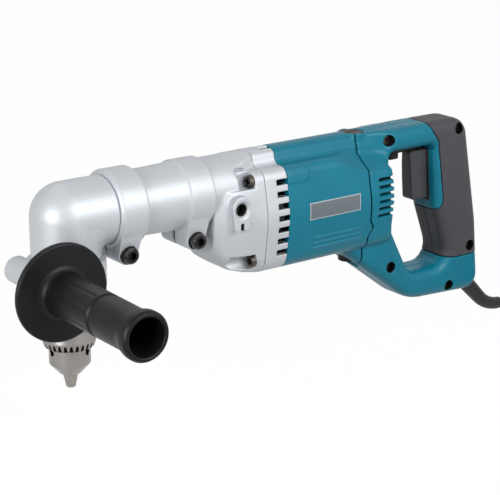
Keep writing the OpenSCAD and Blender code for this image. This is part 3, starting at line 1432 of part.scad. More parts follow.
angle_head();
head_bearings();
head_spacers();
bevel_pinion();
bevel_gear();
spindle();
chuck_body();
chuck_sleeve();
chuck_jaw_1();
chuck_jaw_2();
chuck_jaw_3();
handle_clamp();
grip_stud();
side_grip();
coupling_sleeve();
clamp_bolts();
gear_case();
bearing_box();
case_screws();
output_bearing();
output_shaft();
output_gear();
intermediate_shaft();
intermediate_gear();
motor_housing();
field_core();
field_coils();
armature_shaft();
armature_core();
commutator();
fan();
motor_bearings();
brush_holders();
carbon_brushes();
brush_caps();
name_plate();
handle_left();
handle_right();
grip_cover_left();
grip_cover_right();
handle_screws();
switch_unit();
trigger();
reversing_lever();
cord_clamp();
cord_guard();
power_cord();
cord_coil();
cord_tie();
plug();
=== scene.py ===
import json
import math

import bmesh
import bpy
from mathutils import Matrix, Vector
from mathutils.kdtree import KDTree

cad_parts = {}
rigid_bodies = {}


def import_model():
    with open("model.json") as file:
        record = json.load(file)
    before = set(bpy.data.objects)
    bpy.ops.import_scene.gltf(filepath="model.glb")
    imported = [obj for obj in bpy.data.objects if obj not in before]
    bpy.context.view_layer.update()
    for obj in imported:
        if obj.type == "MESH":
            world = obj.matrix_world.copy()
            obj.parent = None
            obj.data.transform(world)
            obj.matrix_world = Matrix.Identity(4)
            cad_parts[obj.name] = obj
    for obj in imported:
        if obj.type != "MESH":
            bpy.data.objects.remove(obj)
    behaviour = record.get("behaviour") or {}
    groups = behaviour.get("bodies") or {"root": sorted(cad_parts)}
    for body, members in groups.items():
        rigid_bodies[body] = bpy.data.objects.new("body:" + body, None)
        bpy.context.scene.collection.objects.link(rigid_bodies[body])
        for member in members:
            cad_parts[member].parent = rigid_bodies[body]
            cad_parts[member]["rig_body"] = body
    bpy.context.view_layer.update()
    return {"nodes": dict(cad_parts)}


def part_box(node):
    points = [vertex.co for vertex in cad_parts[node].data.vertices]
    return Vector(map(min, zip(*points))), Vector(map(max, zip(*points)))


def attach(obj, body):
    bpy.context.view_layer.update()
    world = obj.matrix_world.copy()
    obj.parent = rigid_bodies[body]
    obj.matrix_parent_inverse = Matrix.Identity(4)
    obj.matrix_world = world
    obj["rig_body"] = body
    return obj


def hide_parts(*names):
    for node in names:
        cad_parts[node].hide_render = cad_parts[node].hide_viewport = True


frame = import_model()
# Blender's lengths are in metres. One that is written in millimetres is multiplied by this.
mm = 0.001


# Studio
# A white sweep without corners, a soft lamp low on the left that rounds the elbow, a broad one
# in front of the side, a weak one behind, and the camera of the photograph.

sleeve_low, sleeve_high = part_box("chuck_sleeve")
arm_radius = 27
crossing = Vector((
    (sleeve_low.x + sleeve_high.x) / 2,
    (sleeve_low.y + sleeve_high.y) / 2,
    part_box("angle_head")[1].z - arm_radius * mm,
))


def at(x, y, z):
    """A point in millimetres behind, to the right of and above the crossing of the drill's two axes."""
    return crossing + Vector((x, y, z)) * mm


def from_crossing(point):
    """The reverse of at: where a point lies, in millimetres from the crossing."""
    return (point - crossing) * 1000


def link(name, data):
    """A new object at the origin."""
    made = bpy.data.objects.new(name, data)
    bpy.context.scene.collection.objects.link(made)
    return made


def look(thing, place, aim):
    """Sets a camera or a lamp in its place and turns it to a point."""
    thing.location = place
    thing.rotation_euler = (aim - place).to_track_quat("-Z", "Y").to_euler()


def linear(code):
    """An sRGB colour written in hex, as the linear colour that shaders take."""
    parts = [int(code[i:i + 2], 16) / 255 for i in (1, 3, 5)]
    return tuple(c / 12.92 if c <= 0.04045 else ((c + 0.055) / 1.055) ** 2.4 for c in parts) + (1.0,)


def put(tree, kind, sockets=None, **settings):
    """Adds a node. Sockets are its inputs: values, or outputs to link. Settings are its own properties."""
    made = tree.nodes.new(kind)
    for name, value in settings.items():
        setattr(made, name, value)
    for key, value in (sockets or {}).items():
        if isinstance(value, bpy.types.NodeSocket):
            tree.links.new(value, made.inputs[key])
        else:
            made.inputs[key].default_value = value
    return made


def bare_tree(owner):
    """The emptied node tree of a material or a world."""
    owner.use_nodes = True
    owner.node_tree.nodes.clear()
    return owner.node_tree


camera = link("camera", bpy.data.cameras.new("camera"))
camera.data.lens = 112.5
camera.data.sensor_width = 36
camera.data.clip_end = 50
look(camera, at(-558.99, -994.69, 331.21), at(173.67, 0, -57.25))
bpy.context.scene.camera = camera
bpy.context.scene.view_settings.view_transform = "Standard"


def seen_directly(tree):
    """One for rays that the eye follows: from the camera, off gloss and through glass."""
    path = put(tree, "ShaderNodeLightPath").outputs
    first = put(tree, "ShaderNodeMath", {0: path["Is Camera Ray"], 1: path["Is Glossy Ray"]},
                operation="MAXIMUM")
    return put(tree, "ShaderNodeMath", {0: first.outputs[0], 1: path["Is Transmission Ray"]},
               operation="MAXIMUM").outputs[0]


room = bpy.data.worlds.new("studio")
bpy.context.scene.world = room
tree = bare_tree(room)
dim = put(tree, "ShaderNodeBackground", {"Color": linear("#f2f5f8"), "Strength": 0.18})
white = put(tree, "ShaderNodeBackground", {"Color": linear("#ffffff"), "Strength": 1.0})
both = put(tree, "ShaderNodeMixShader", {0: seen_directly(tree), 1: dim.outputs[0], 2: white.outputs[0]})
put(tree, "ShaderNodeOutputWorld", {"Surface": both.outputs[0]})

paper = bpy.data.materials.new("white_paper")
tree = bare_tree(paper)
matt = put(tree, "ShaderNodeBsdfDiffuse", {"Color": linear("#a8a8a8")})
glow = put(tree, "ShaderNodeEmission", {"Color": linear("#ffffff"), "Strength": 1.05})
share = put(tree, "ShaderNodeMath", {0: seen_directly(tree), 1: 0.93}, operation="MULTIPLY")
both = put(tree, "ShaderNodeMixShader", {0: share.outputs[0], 1: matt.outputs[0], 2: glow.outputs[0]})
put(tree, "ShaderNodeOutputMaterial", {"Surface": both.outputs[0]})
sweep = bpy.data.meshes.new("floor")
reach = 6.0
corners = [(-reach, -reach, 0), (reach, -reach, 0), (reach, reach, 0), (-reach, reach, 0)]
sweep.from_pydata(corners, [], [(0, 1, 2, 3)])
sweep.materials.append(paper)
floor = link("floor", sweep)
floor.location.z = -0.5 * mm


def lamp(name, place, aim, size, watts):
    """A square soft box."""
    box = link(name, bpy.data.lights.new(name, "AREA"))
    box.data.size = size
    box.data.energy = watts
    look(box, place, aim)


middle = at(170, 0, -50)
lamp("left_lamp", at(-1000, -340, 200), at(60, 0, -50), size=0.55, watts=10)
lamp("side_lamp", at(450, -1080, 600), middle, size=0.8, watts=14)
lamp("back_lamp", at(250, 700, 900), middle, size=0.7, watts=1.0)


# Mains cord
# A round two core lead with a black rubber sheath, 8 mm thick. It leaves the guard along the
# floor and is wound into a flat coil of two layers, with a strap and a moulded plug.


def new_material(name):
    """A material, its emptied node tree, and the place on the piece that its patterns read."""
    made = bpy.data.materials.new(name)
    tree = bare_tree(made)
    return made, tree, put(tree, "ShaderNodeTexCoord").outputs["Object"]


def patchy(name, size, detail, colours, dull, surface, grain=None):
    """A material with patches of a size in mm, between two colours and two values of roughness. Surface holds
    the shader's other inputs. A grain is a size in mm and a strength, and raises the skin."""
    made, tree, where = new_material(name)
    patch = put(tree, "ShaderNodeTexNoise", {
        "Vector": where, "Scale": 1 / (size * mm), "Detail": detail}).outputs["Fac"]
    tone = put(tree, "ShaderNodeMix", {"Factor": patch, "A": linear(colours[0]), "B": linear(colours[1])},
               data_type="RGBA")
    rough = put(tree, "ShaderNodeMapRange", {"Value": patch, "To Min": dull[0], "To Max": dull[1]})
    shader = put(tree, "ShaderNodeBsdfPrincipled", {
        "Base Color": tone.outputs["Result"], "Roughness": rough.outputs[0], **surface})
    if grain:
        bumps = put(tree, "ShaderNodeTexNoise", {
            "Vector": where, "Scale": 1 / (grain[0] * mm), "Detail": 2.0})
        relief = put(tree, "ShaderNodeBump", {
            "Strength": grain[1], "Distance": 0.2 * mm, "Height": bumps.outputs["Fac"]})
        tree.links.new(relief.outputs[0], shader.inputs["Normal"])
    put(tree, "ShaderNodeOutputMaterial", {"Surface": shader.outputs[0]})
    return made


# A dull sheath with handling smears about 20 mm across and a grain of 0.6 mm, drawn coarser than real.
black_rubber = patchy("black_rubber", size=20, detail=4, colours=("#19191b", "#29292c"), dull=(0.46, 0.62),
                      surface={"IOR": 1.52, "Specular IOR Level": 0.3}, grain=(0.6, 0.12))

cord_radius = 4
tip_radius = 5.5
cord_exit = Vector((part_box("cord_guard")[1].x, crossing.y, tip_radius * mm))
coil_turns = 7.5
coil_radius = 64.2
coil_pitch = 8.57
coil_behind = 68
lay_height = 0.1
climb_turns = 0.5
steps_a_turn = 48
lead_route = [(0, 0, 0), (10, 0, 0), (24, 0, -0.6), (38, 0, -0.6), (50, 0, lay_height), (60, 0, lay_height)]
tail_route = [(-10, 0, 0), (-24, 0, -1), (-38, 0, -2.2), (-50, 0, -3.1), (-60, 0, -3.1)]
# The coil winds inwards, climbs to the second layer half way, and winds out again.
coil_route = []
for i in range(int(coil_turns * steps_a_turn) + 1):
    turn = i / steps_a_turn
    angle = math.radians(90 - 360 * turn)
    radius = coil_radius - coil_pitch * min(turn, coil_turns - turn)
    climb = max(0, min(1, (turn - (coil_turns - climb_turns) / 2) / climb_turns))
    coil_route.append((coil_behind + radius * math.cos(angle), -coil_radius + radius * math.sin(angle),
                       lay_height + coil_pitch * (1 - math.cos(math.pi * climb)) / 2))
end_x, end_y, end_z = coil_route[-1]
coil_end = (end_x - 2 * cord_radius, end_y, end_z)
route = lead_route + coil_route + [coil_end]
route += [tuple(c + d for c, d in zip(coil_end, step)) for step in tail_route]
cord_points = [cord_exit + Vector(p) * mm for p in route]
lead = bpy.data.curves.new("mains_cord", "CURVE")
lead.dimensions = "3D"
lead.bevel_depth = cord_radius * mm
lead.bevel_resolution = 4
lead.use_fill_caps = True
spline = lead.splines.new("POLY")
spline.points.add(len(cord_points) - 1)
for point, place in zip(spline.points, cord_points):
    point.co = (*place, 1)
spline.use_smooth = True
lead.materials.append(black_rubber)
mains_cord = link("mains_cord", lead)
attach(mains_cord, "drill_body")
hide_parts("power_cord", "cord_coil")


def smooth_faces(mesh):
    """Smooth shading, with creases kept where faces meet at more than 35 degrees."""
    mesh.shade_smooth()
    mesh.set_sharp_from_angle(angle=math.radians(35))


def fillet(points, steps=5):
    """An open line in two dimensions with its corners rounded. A point's third value is its radius, which is
    cut down where the lines beside the corner are too short for it."""
    line = []
    for i, p in enumerate(points):
        here = Vector(p[:2])
        if i in (0, len(points) - 1) or len(p) < 3 or not p[2]:
            line.append(here)
            continue
        back = Vector(points[i - 1][:2]) - here
        on = Vector(points[i + 1][:2]) - here
        half = back.angle(on) / 2
        run = min(p[2] / math.tan(half), back.length * 0.49, on.length * 0.49)
        radius = run * math.tan(half)
        centre = here + (back.normalized() + on.normalized()).normalized() * (radius / math.sin(half))
        start = here + back.normalized() * run - centre
        stop = here + on.normalized() * run - centre
        swing = math.atan2(start.x * stop.y - start.y * stop.x, start.dot(stop))
        for k in range(steps + 1):
            a = swing * k / steps
            line.append(centre + Vector((start.x * math.cos(a) - start.y * math.sin(a),
                                         start.x * math.sin(a) + start.y * math.cos(a))))
    return line


def turned(name, line, centre, along, sides, shape=None):
    """A turned piece: a line of radius and distance in mm, swung round an axis. Shape may change a radius by
    its distance and angle."""
    along = along.normalized()
    across = along.orthogonal().normalized()
    other = along.cross(across)
    made = bmesh.new()
    rings = []
    for r, s in line:
        hub = centre + along * (s * mm)
        if r < 1e-6:
            rings.append([made.verts.new(hub)])
            continue
        ring = []
        for k in range(sides):
            a = 2 * math.pi * k / sides
            far = (shape(r, s, a) if shape else r) * mm
            ring.append(made.verts.new(hub + (across * math.cos(a) + other * math.sin(a)) * far))
        rings.append(ring)
    for first, second in zip(rings, rings[1:]):
        for k in range(sides):
            face = [first[k % len(first)], first[(k + 1) % len(first)],
                    second[(k + 1) % len(second)], second[k % len(second)]]
            made.faces.new(list(dict.fromkeys(face)))
    bmesh.ops.recalc_face_normals(made, faces=made.faces)
    return meshed(name, made)


def meshed(name, made):
    """A mesh from what was built, smooth but for its creases."""
    mesh = bpy.data.meshes.new(name)
    made.to_mesh(mesh)
    made.free()
    smooth_faces(mesh)
    return mesh


def bars(name, boxes, bevel):
    """Bars with rounded edges, from their lowest and highest corners."""
    made = bmesh.new()
    for low, high in boxes:
        placed = Matrix.Translation((low + high) / 2) @ Matrix.Diagonal((*(high - low), 1))
        bmesh.ops.create_cube(made, size=1, matrix=placed)
    bmesh.ops.bevel(made, geom=made.edges[:], offset=bevel * mm, segments=2, affect="EDGES", profile=0.5)
    return meshed(name, made)


# The plug's body has finger grooves round it, and two folded brass blades stand out of its face.
plug_low, plug_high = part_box("plug")
plug_axis = Vector((plug_high.x, (plug_low.y + plug_high.y) / 2, (plug_low.z + plug_high.z) / 2))
plug_radius = 11
plug_length = 34
grooves = []
for s in (19, 23, 27):
    grooves += [(plug_radius, s - 1.4, 0.4), (plug_radius - 1, s, 0.6), (plug_radius, s + 1.4, 0.4)]
plug_line = fillet([(0, 0), (6.5, 0, 0.8), (6.9, 4, 2), (plug_radius, 14, 3)] + grooves
                   + [(plug_radius, plug_length, 1.2), (0, plug_length)])
plug_body = link("plug_body", turned("plug_body", plug_line, plug_axis, Vector((-1, 0, 0)), sides=48))
plug_body.data.materials.append(black_rubber)
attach(plug_body, "drill_body")
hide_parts("plug")

# Rolled strip: a warm yellow with faint streaks 1 mm apart.
brass = patchy("rolled_brass", size=1, detail=3, colours=("#b08d45", "#cfae66"), dull=(0.24, 0.36),
               surface={"Metallic": 1.0})
blade_gap, blade_length, blade_width, blade_thickness = 12.7, 18, 6.4, 1.5
blade_boxes = []
for side in (-1, 1):
    root = plug_axis + Vector((1 - plug_length, side * blade_gap / 2, 0)) * mm
    half = Vector((0, blade_thickness / 2, blade_width / 2)) * mm
    blade_boxes.append((root - half - Vector((blade_length, 0, 0)) * mm, root + half))
plug_blades = link("plug_blades", bars("plug_blades", blade_boxes, bevel=0.4))
plug_blades.data.materials.append(brass)
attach(plug_blades, "drill_body")

# The strap is a flat hook and loop band round the bundle of turns.
woven_strap, tree, where = new_material("woven_strap")
# Looped nylon: a dull dark grey with a pile of 0.7 mm.
pile = put(tree, "ShaderNodeTexVoronoi", {"Vector": where, "Scale": 1 / (0.7 * mm)}).outputs["Distance"]
tone = put(tree, "ShaderNodeMix", {"Factor": pile, "A": linear("#3d3d40"), "B": linear("#262628")},
           data_type="RGBA")
relief = put(tree, "ShaderNodeBump", {"Strength": 0.5, "Distance": 0.3 * mm, "Height": pile})
shader = put(tree, "ShaderNodeBsdfPrincipled", {
    "Base Color": tone.outputs["Result"], "Roughness": 0.85, "Normal": relief.outputs[0]})
put(tree, "ShaderNodeOutputMaterial", {"Surface": shader.outputs[0]})
tie_low, tie_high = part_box("cord_tie")
corner, thickness, lap = 4 * mm, 1 * mm, 20 * mm
seam = (tie_low.x + lap, tie_low.z)
loop = fillet([seam, (tie_high.x, tie_low.z, corner), (tie_high.x, tie_high.z, corner),
               (tie_low.x, tie_high.z, corner), (tie_low.x, tie_low.z, corner), seam])[:-1]
centre = Vector(((tie_low.x + tie_high.x) / 2, (tie_low.z + tie_high.z) / 2))
inner = [p + (centre - p).normalized() * thickness for p in loop]
made = bmesh.new()
rows = [[made.verts.new((p.x, y, p.y)) for p in edge]
        for edge, y in ((loop, tie_low.y), (loop, tie_high.y), (inner, tie_high.y), (inner, tie_low.y))]
for row, after in zip(rows, rows[1:] + rows[:1]):
    for k in range(len(loop)):
        made.faces.new([row[k], row[(k + 1) % len(loop)], after[(k + 1) % len(loop)], after[k]])
bmesh.ops.recalc_face_normals(made, faces=made.faces)
cord_strap = link("cord_strap", meshed("cord_strap", made))
cord_strap.data.materials.append(woven_strap)
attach(cord_strap, "drill_body")
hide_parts("cord_tie")


# Angle head
# A die cast aluminium elbow with a round back, painted silver. A machined collar on each arm
# goes into the coupling and into the side handle's clamp ring.

silver_paint, tree, where = new_material("silver_painted_casting")
# Metal flakes in a clear binder: a soft broad highlight, a grain of 0.5 mm from the cast skin under it,
# clouds about 30 mm across, and edges where the paint thins.
cloud = put(tree, "ShaderNodeTexNoise", {
    "Vector": where, "Scale": 1 / (30 * mm), "Detail": 3.0}).outputs["Fac"]
flake = put(tree, "ShaderNodeTexNoise", {
    "Vector": where, "Scale": 1 / (0.5 * mm), "Detail": 2.0}).outputs["Fac"]
edge = put(tree, "ShaderNodeNewGeometry").outputs["Pointiness"]
thin = put(tree, "ShaderNodeMapRange", {"Value": edge, "From Min": 0.52, "From Max": 0.6})
tone = put(tree, "ShaderNodeMix", {"Factor": flake, "A": linear("#b0b4b9"), "B": linear("#c6cace")},
           data_type="RGBA")
worn = put(tree, "ShaderNodeMix", {
    "Factor": thin.outputs[0], "A": tone.outputs["Result"], "B": linear("#dcdfe2")}, data_type="RGBA")
dull = put(tree, "ShaderNodeMapRange", {"Value": cloud, "To Min": 0.41, "To Max": 0.51})
relief = put(tree, "ShaderNodeBump", {"Strength": 0.06, "Distance": 0.2 * mm, "Height": flake})
shader = put(tree, "ShaderNodeBsdfPrincipled", {
    "Base Color": worn.outputs["Result"], "Metallic": 0.3, "Roughness": dull.outputs[0],
    "Normal": relief.outputs[0]})
put(tree, "ShaderNodeOutputMaterial", {"Surface": shader.outputs[0]})


def settle(piece):
    """Makes a piece's modifiers part of its mesh."""
    shaped = bpy.data.meshes.new_from_object(piece.evaluated_get(bpy.context.evaluated_depsgraph_get()))
    piece.modifiers.clear()
    piece.data = shaped


def soft_copy(node, name, material, grain, rounds, share, blends=(), fills=()):
    """A copy of a CAD node with the soft edges of a casting or moulding, in the node's place and on its body.
    It is made anew in cells of a grain in mm, eased in rounds, and keeps a share of its faces. Blends are
    points and reaches in mm where it is eased further. Fills are the corners of convex lumps that grow
    into it."""
    cad = frame["nodes"][node]
    mesh = cad.data.copy()
    made = bmesh.new()
    made.from_mesh(mesh)
    bmesh.ops.remove_doubles(made, verts=made.verts, dist=1e-6)
    for corners in fills:
        bmesh.ops.convex_hull(made, input=[made.verts.new(corner) for corner in corners])
    made.to_mesh(mesh)
    made.free()
    piece = link(name, mesh)
    fine = piece.modifiers.new("fine", "REMESH")
    fine.mode = "VOXEL"
    fine.voxel_size = grain * mm
    ease = piece.modifiers.new("ease", "SMOOTH")
    ease.factor = 0.5
    ease.iterations = rounds
    settle(piece)
    if blends:
        eased = piece.vertex_groups.new(name="blends")
        for point in piece.data.vertices:
            weight = max(1 - (point.co - spot).length / (span * mm) for spot, span in blends)
            if weight > 0:
                eased.add([point.index], min(1, 2 * weight), "REPLACE")
        melt = piece.modifiers.new("melt", "SMOOTH")
        melt.vertex_group = eased.name
        melt.factor = 0.5
        melt.iterations = 160
    fewer = piece.modifiers.new("fewer", "DECIMATE")
    fewer.ratio = share
    settle(piece)
    piece.vertex_groups.clear()
    piece.data.materials.clear()
    piece.data.materials.append(material)
    piece.data.shade_smooth()
    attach(piece, cad["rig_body"])
    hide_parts(node)
    return piece


soft_copy("angle_head", "elbow_casting", silver_paint, grain=0.6, rounds=8, share=0.35)


def coat(node, material):
    """Gives a CAD node that stays as it is its finish."""
    finish = frame["nodes"][node].data.materials
    finish.clear()
    finish.append(material)


# Bearings, gears and shafts
# Ground and hardened steel inside the castings: bearing rings and spacers, the bevel pair,
# the two spur stages and their shafts. Only the spindle's collar shows.

# A ground face: fine scratches about 0.4 mm apart on a bright grey.
bearing_steel = patchy("ground_bearing_steel", size=0.4, detail=2, colours=("#b4b7ba", "#c9cccf"),
                       dull=(0.16, 0.3), surface={"Metallic": 1.0})
# Case hardened and oiled: dark straw to blue patches about 8 mm across.
gear_steel = patchy("oiled_gear_steel", size=8, detail=3, colours=("#5b5650", "#7d7f84"),
                    dull=(0.22, 0.4), surface={"Metallic": 1.0})
for node in ("head_bearings", "head_spacers", "spindle", "output_bearing", "output_shaft",
             "intermediate_shaft", "armature_shaft", "motor_bearings"):
    coat(node, bearing_steel)
for node in ("bevel_pinion", "bevel_gear", "output_gear", "intermediate_gear"):
    coat(node, gear_steel)


# Keyed chuck
# Turned steel: a body with three key holes, a sleeve with a crown of key teeth, and three jaws
# ground to meet at their tips. The sleeve and body are bright, the jaws browner.


def wave_scale(gap):
    """The scale of a wave texture whose bands lie a gap in mm apart. The texture turns 20 radians a unit."""
    return 2 * math.pi / (20 * gap * mm)


chuck_steel, tree, where = new_material("turned_chuck_steel")
# Turning marks run round the chuck. They are drawn 0.7 mm apart, coarser than real ones, so that they show.
marks = put(tree, "ShaderNodeTexWave", {
    "Vector": where, "Scale": wave_scale(0.7), "Distortion": 0.6, "Detail": 2.0},
    bands_direction="Z").outputs["Fac"]
smear = put(tree, "ShaderNodeTexNoise", {
    "Vector": where, "Scale": 1 / (12 * mm), "Detail": 3.0}).outputs["Fac"]
tone = put(tree, "ShaderNodeMix", {"Factor": smear, "A": linear("#787573"), "B": linear("#a5a29f")},
           data_type="RGBA")
dull = put(tree, "ShaderNodeMapRange", {"Value": marks, "To Min": 0.27, "To Max": 0.35})
relief = put(tree, "ShaderNodeBump", {"Strength": 0.04, "Distance": 0.1 * mm, "Height": marks})
shader = put(tree, "ShaderNodeBsdfPrincipled", {
    "Base Color": tone.outputs["Result"], "Metallic": 1.0, "Roughness": dull.outputs[0],
    "Normal": relief.outputs[0]})
put(tree, "ShaderNodeOutputMaterial", {"Surface": shader.outputs[0]})
# Hardened and ground: a browner grey with rubbed patches of 3 mm.
jaw_steel = patchy("ground_jaw_steel", size=3, detail=3, colours=("#7f7972", "#aaa5a0"), dull=(0.26, 0.42),
                   surface={"Metallic": 1.0})
# Painted shade for the insides of gaps, vents, holes and screw pockets: nearly black, dull, in specks of 0.5
# mm.
painted_shade = patchy("painted_shade_in_hollows", size=0.5, detail=2, colours=("#070708", "#101011"), dull=(0.8, 0.8),
               surface={"Specular IOR Level": 0.1})


def paint_shade_inside(piece, inside):
    """Paints shade on the faces of a piece that lie inside a gap or hollow. The test takes a place in mm from
    the crossing.
    """
    piece.data.materials.append(painted_shade)
    for face in piece.data.polygons:
        if inside(from_crossing(face.center)):
            face.material_index = len(piece.data.materials) - 1


chuck_core = soft_copy("chuck_body", "chuck_core", chuck_steel, grain=0.4, rounds=3, share=0.4)
key_ring = soft_copy("chuck_sleeve", "chuck_key_ring", chuck_steel, grain=0.3, rounds=3,
                     share=0.35)
teeth_low = from_crossing(sleeve_low).z
# The teeth stand on a cone that widens by a third of its rise, and the gaps between them lie below its skin.
teeth_height, cone_radius = 6.4, 18.8
# Painted shade darkens the gaps between the key teeth.
paint_shade_inside(key_ring, lambda spot: (spot.z < teeth_low + teeth_height
                              and math.hypot(spot.x, spot.y) < cone_radius + (spot.z - teeth_low) / 3))
key_hole_drop, key_hole_radius, core_skin = 3.3, 3.4, 15.6
# Painted shade darkens the walls of the key holes.
paint_shade_inside(chuck_core, lambda spot: (abs(spot.z - teeth_low + key_hole_drop) < key_hole_radius
                                and math.hypot(spot.x, spot.y) < core_skin))
for number in (1, 2, 3):
    soft_copy(f"chuck_jaw_{number}", f"ground_jaw_{number}", jaw_steel, grain=0.25, rounds=2,
              share=0.6)


# Side handle
# A split clamp ring with two ears on the elbow's lower collar, drawn tight by a stud with a
# hexagon head, and a moulded nylon grip with a hand guard and a hollow end on the stud.

soft_copy("handle_clamp", "clamp_ring_casting", silver_paint, grain=0.5, rounds=7,
          share=0.4)
soft_copy("grip_stud", "hexagon_stud", bearing_steel, grain=0.4, rounds=2, share=0.5)

black_nylon, tree, where = new_material("black_moulded_nylon")
# Spark eroded mould skin: a black that is a little blue, with a grain of 0.8 mm, coarser than real.
skin = put(tree, "ShaderNodeTexVoronoi", {"Vector": where, "Scale": 1 / (0.8 * mm)}, feature="SMOOTH_F1")
cloud = put(tree, "ShaderNodeTexNoise", {
    "Vector": where, "Scale": 1 / (18 * mm), "Detail": 3.0}).outputs["Fac"]
tone = put(tree, "ShaderNodeMix", {"Factor": cloud, "A": linear("#0b0b0d"), "B": linear("#161619")},
           data_type="RGBA")
dull = put(tree, "ShaderNodeMapRange", {"Value": cloud, "To Min": 0.34, "To Max": 0.46})
relief = put(tree, "ShaderNodeBump", {
    "Strength": 0.3, "Distance": 0.2 * mm, "Height": skin.outputs["Distance"]})
shader = put(tree, "ShaderNodeBsdfPrincipled", {
    "Base Color": tone.outputs["Result"], "Roughness": dull.outputs[0], "IOR": 1.53,
    "Specular IOR Level": 0.16, "Normal": relief.outputs[0]})
put(tree, "ShaderNodeOutputMaterial", {"Surface": shader.outputs[0]})

grip_low, grip_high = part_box("side_grip")
grip_axis = Vector(((grip_low.x + grip_high.x) / 2, grip_high.y, (grip_low.z + grip_high.z) / 2))
# From the stud's hole over the guard disc and the waist groove to the hollow end: radius, distance, rounding.
grip_line = fillet([
    (0, 54.4), (5.05, 54.4), (5.05, 0), (15, 0, 0.6), (15, 10, 1), (38, 10, 2), (38, 15, 2), (16.6, 15, 10),
    (16.6, 26, 6), (16.5, 74.4, 0.6), (15.3, 75.9, 0.6), (15.3, 78.9, 0.6), (16.5, 80.4, 0.6), (16.3, 112, 8),
    (18.7, 121.5, 2.2), (18.7, 126.5, 2.4), (17, 129, 1.6), (14.3, 129, 1.4), (14.3, 80), (0, 80)], steps=7)
grip_skin = 15.8
flute_count, flute_from, flute_to = 8, 29, 73
flute_depth, flute_half, flute_run_in, flute_run_out = 0.7, 1.5, 3, 2


def fluted(radius, distance, angle):
    """The grip's radius where the flutes run along it."""
    if radius < grip_skin or not flute_from < distance < flute_to:
        return radius
    turn = (angle * flute_count / (2 * math.pi)) % 1 - 0.5
    off = abs(turn) * 2 * math.pi * radius / flute_count
    ends = min(1, (distance - flute_from) / flute_run_in, (flute_to - distance) / flute_run_out)
    return radius - flute_depth * max(0, 1 - (off / flute_half) ** 2) * ends


# The grip's outer skin has a ring every 2.5 mm, so that the flutes can end in it.
ring_gap = 2.5
dense = []
for (r0, s0), (r1, s1) in zip(grip_line, grip_line[1:]):
    cuts = max(1, int(abs(s1 - s0) / ring_gap)) if min(r0, r1) > grip_skin else 1
    dense += [(r0 + (r1 - r0) * k / cuts, s0 + (s1 - s0) * k / cuts) for k in range(cuts)]
dense.append(tuple(grip_line[-1]))
moulded_grip = link("moulded_grip", turned("moulded_grip", dense, grip_axis, Vector((0, -1, 0)), sides=192,
                                           shape=fluted))
moulded_grip.data.materials.append(black_nylon)
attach(moulded_grip, "side_grip")
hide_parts("side_grip")


# Coupling
# One silver painted casting with a split clamp at each end. Two black socket head bolts close
# the lugs, the front one on the elbow's collar and the rear one on the gear case's.

soft_copy("coupling_sleeve", "coupling_casting", silver_paint, grain=0.55, rounds=6,
          share=0.35)

black_steel, tree, where = new_material("black_oxide_steel")
# Oiled black oxide: nearly black, with a satin sheen, rubbed spots of 1.5 mm and barer edges.
rub = put(tree, "ShaderNodeTexNoise", {
    "Vector": where, "Scale": 1 / (1.5 * mm), "Detail": 3.0}).outputs["Fac"]
edge = put(tree, "ShaderNodeNewGeometry").outputs["Pointiness"]
bare = put(tree, "ShaderNodeMapRange", {"Value": edge, "From Min": 0.56, "From Max": 0.68, "To Max": 0.5})
tone = put(tree, "ShaderNodeMix", {"Factor": bare.outputs[0], "A": linear("#1c1b1c"), "B": linear("#5a5856")},
           data_type="RGBA")
dull = put(tree, "ShaderNodeMapRange", {"Value": rub, "To Min": 0.26, "To Max": 0.44})
shader = put(tree, "ShaderNodeBsdfPrincipled", {
    "Base Color": tone.outputs["Result"], "Metallic": 0.7, "Roughness": dull.outputs[0]})
put(tree, "ShaderNodeOutputMaterial", {"Surface": shader.outputs[0]})


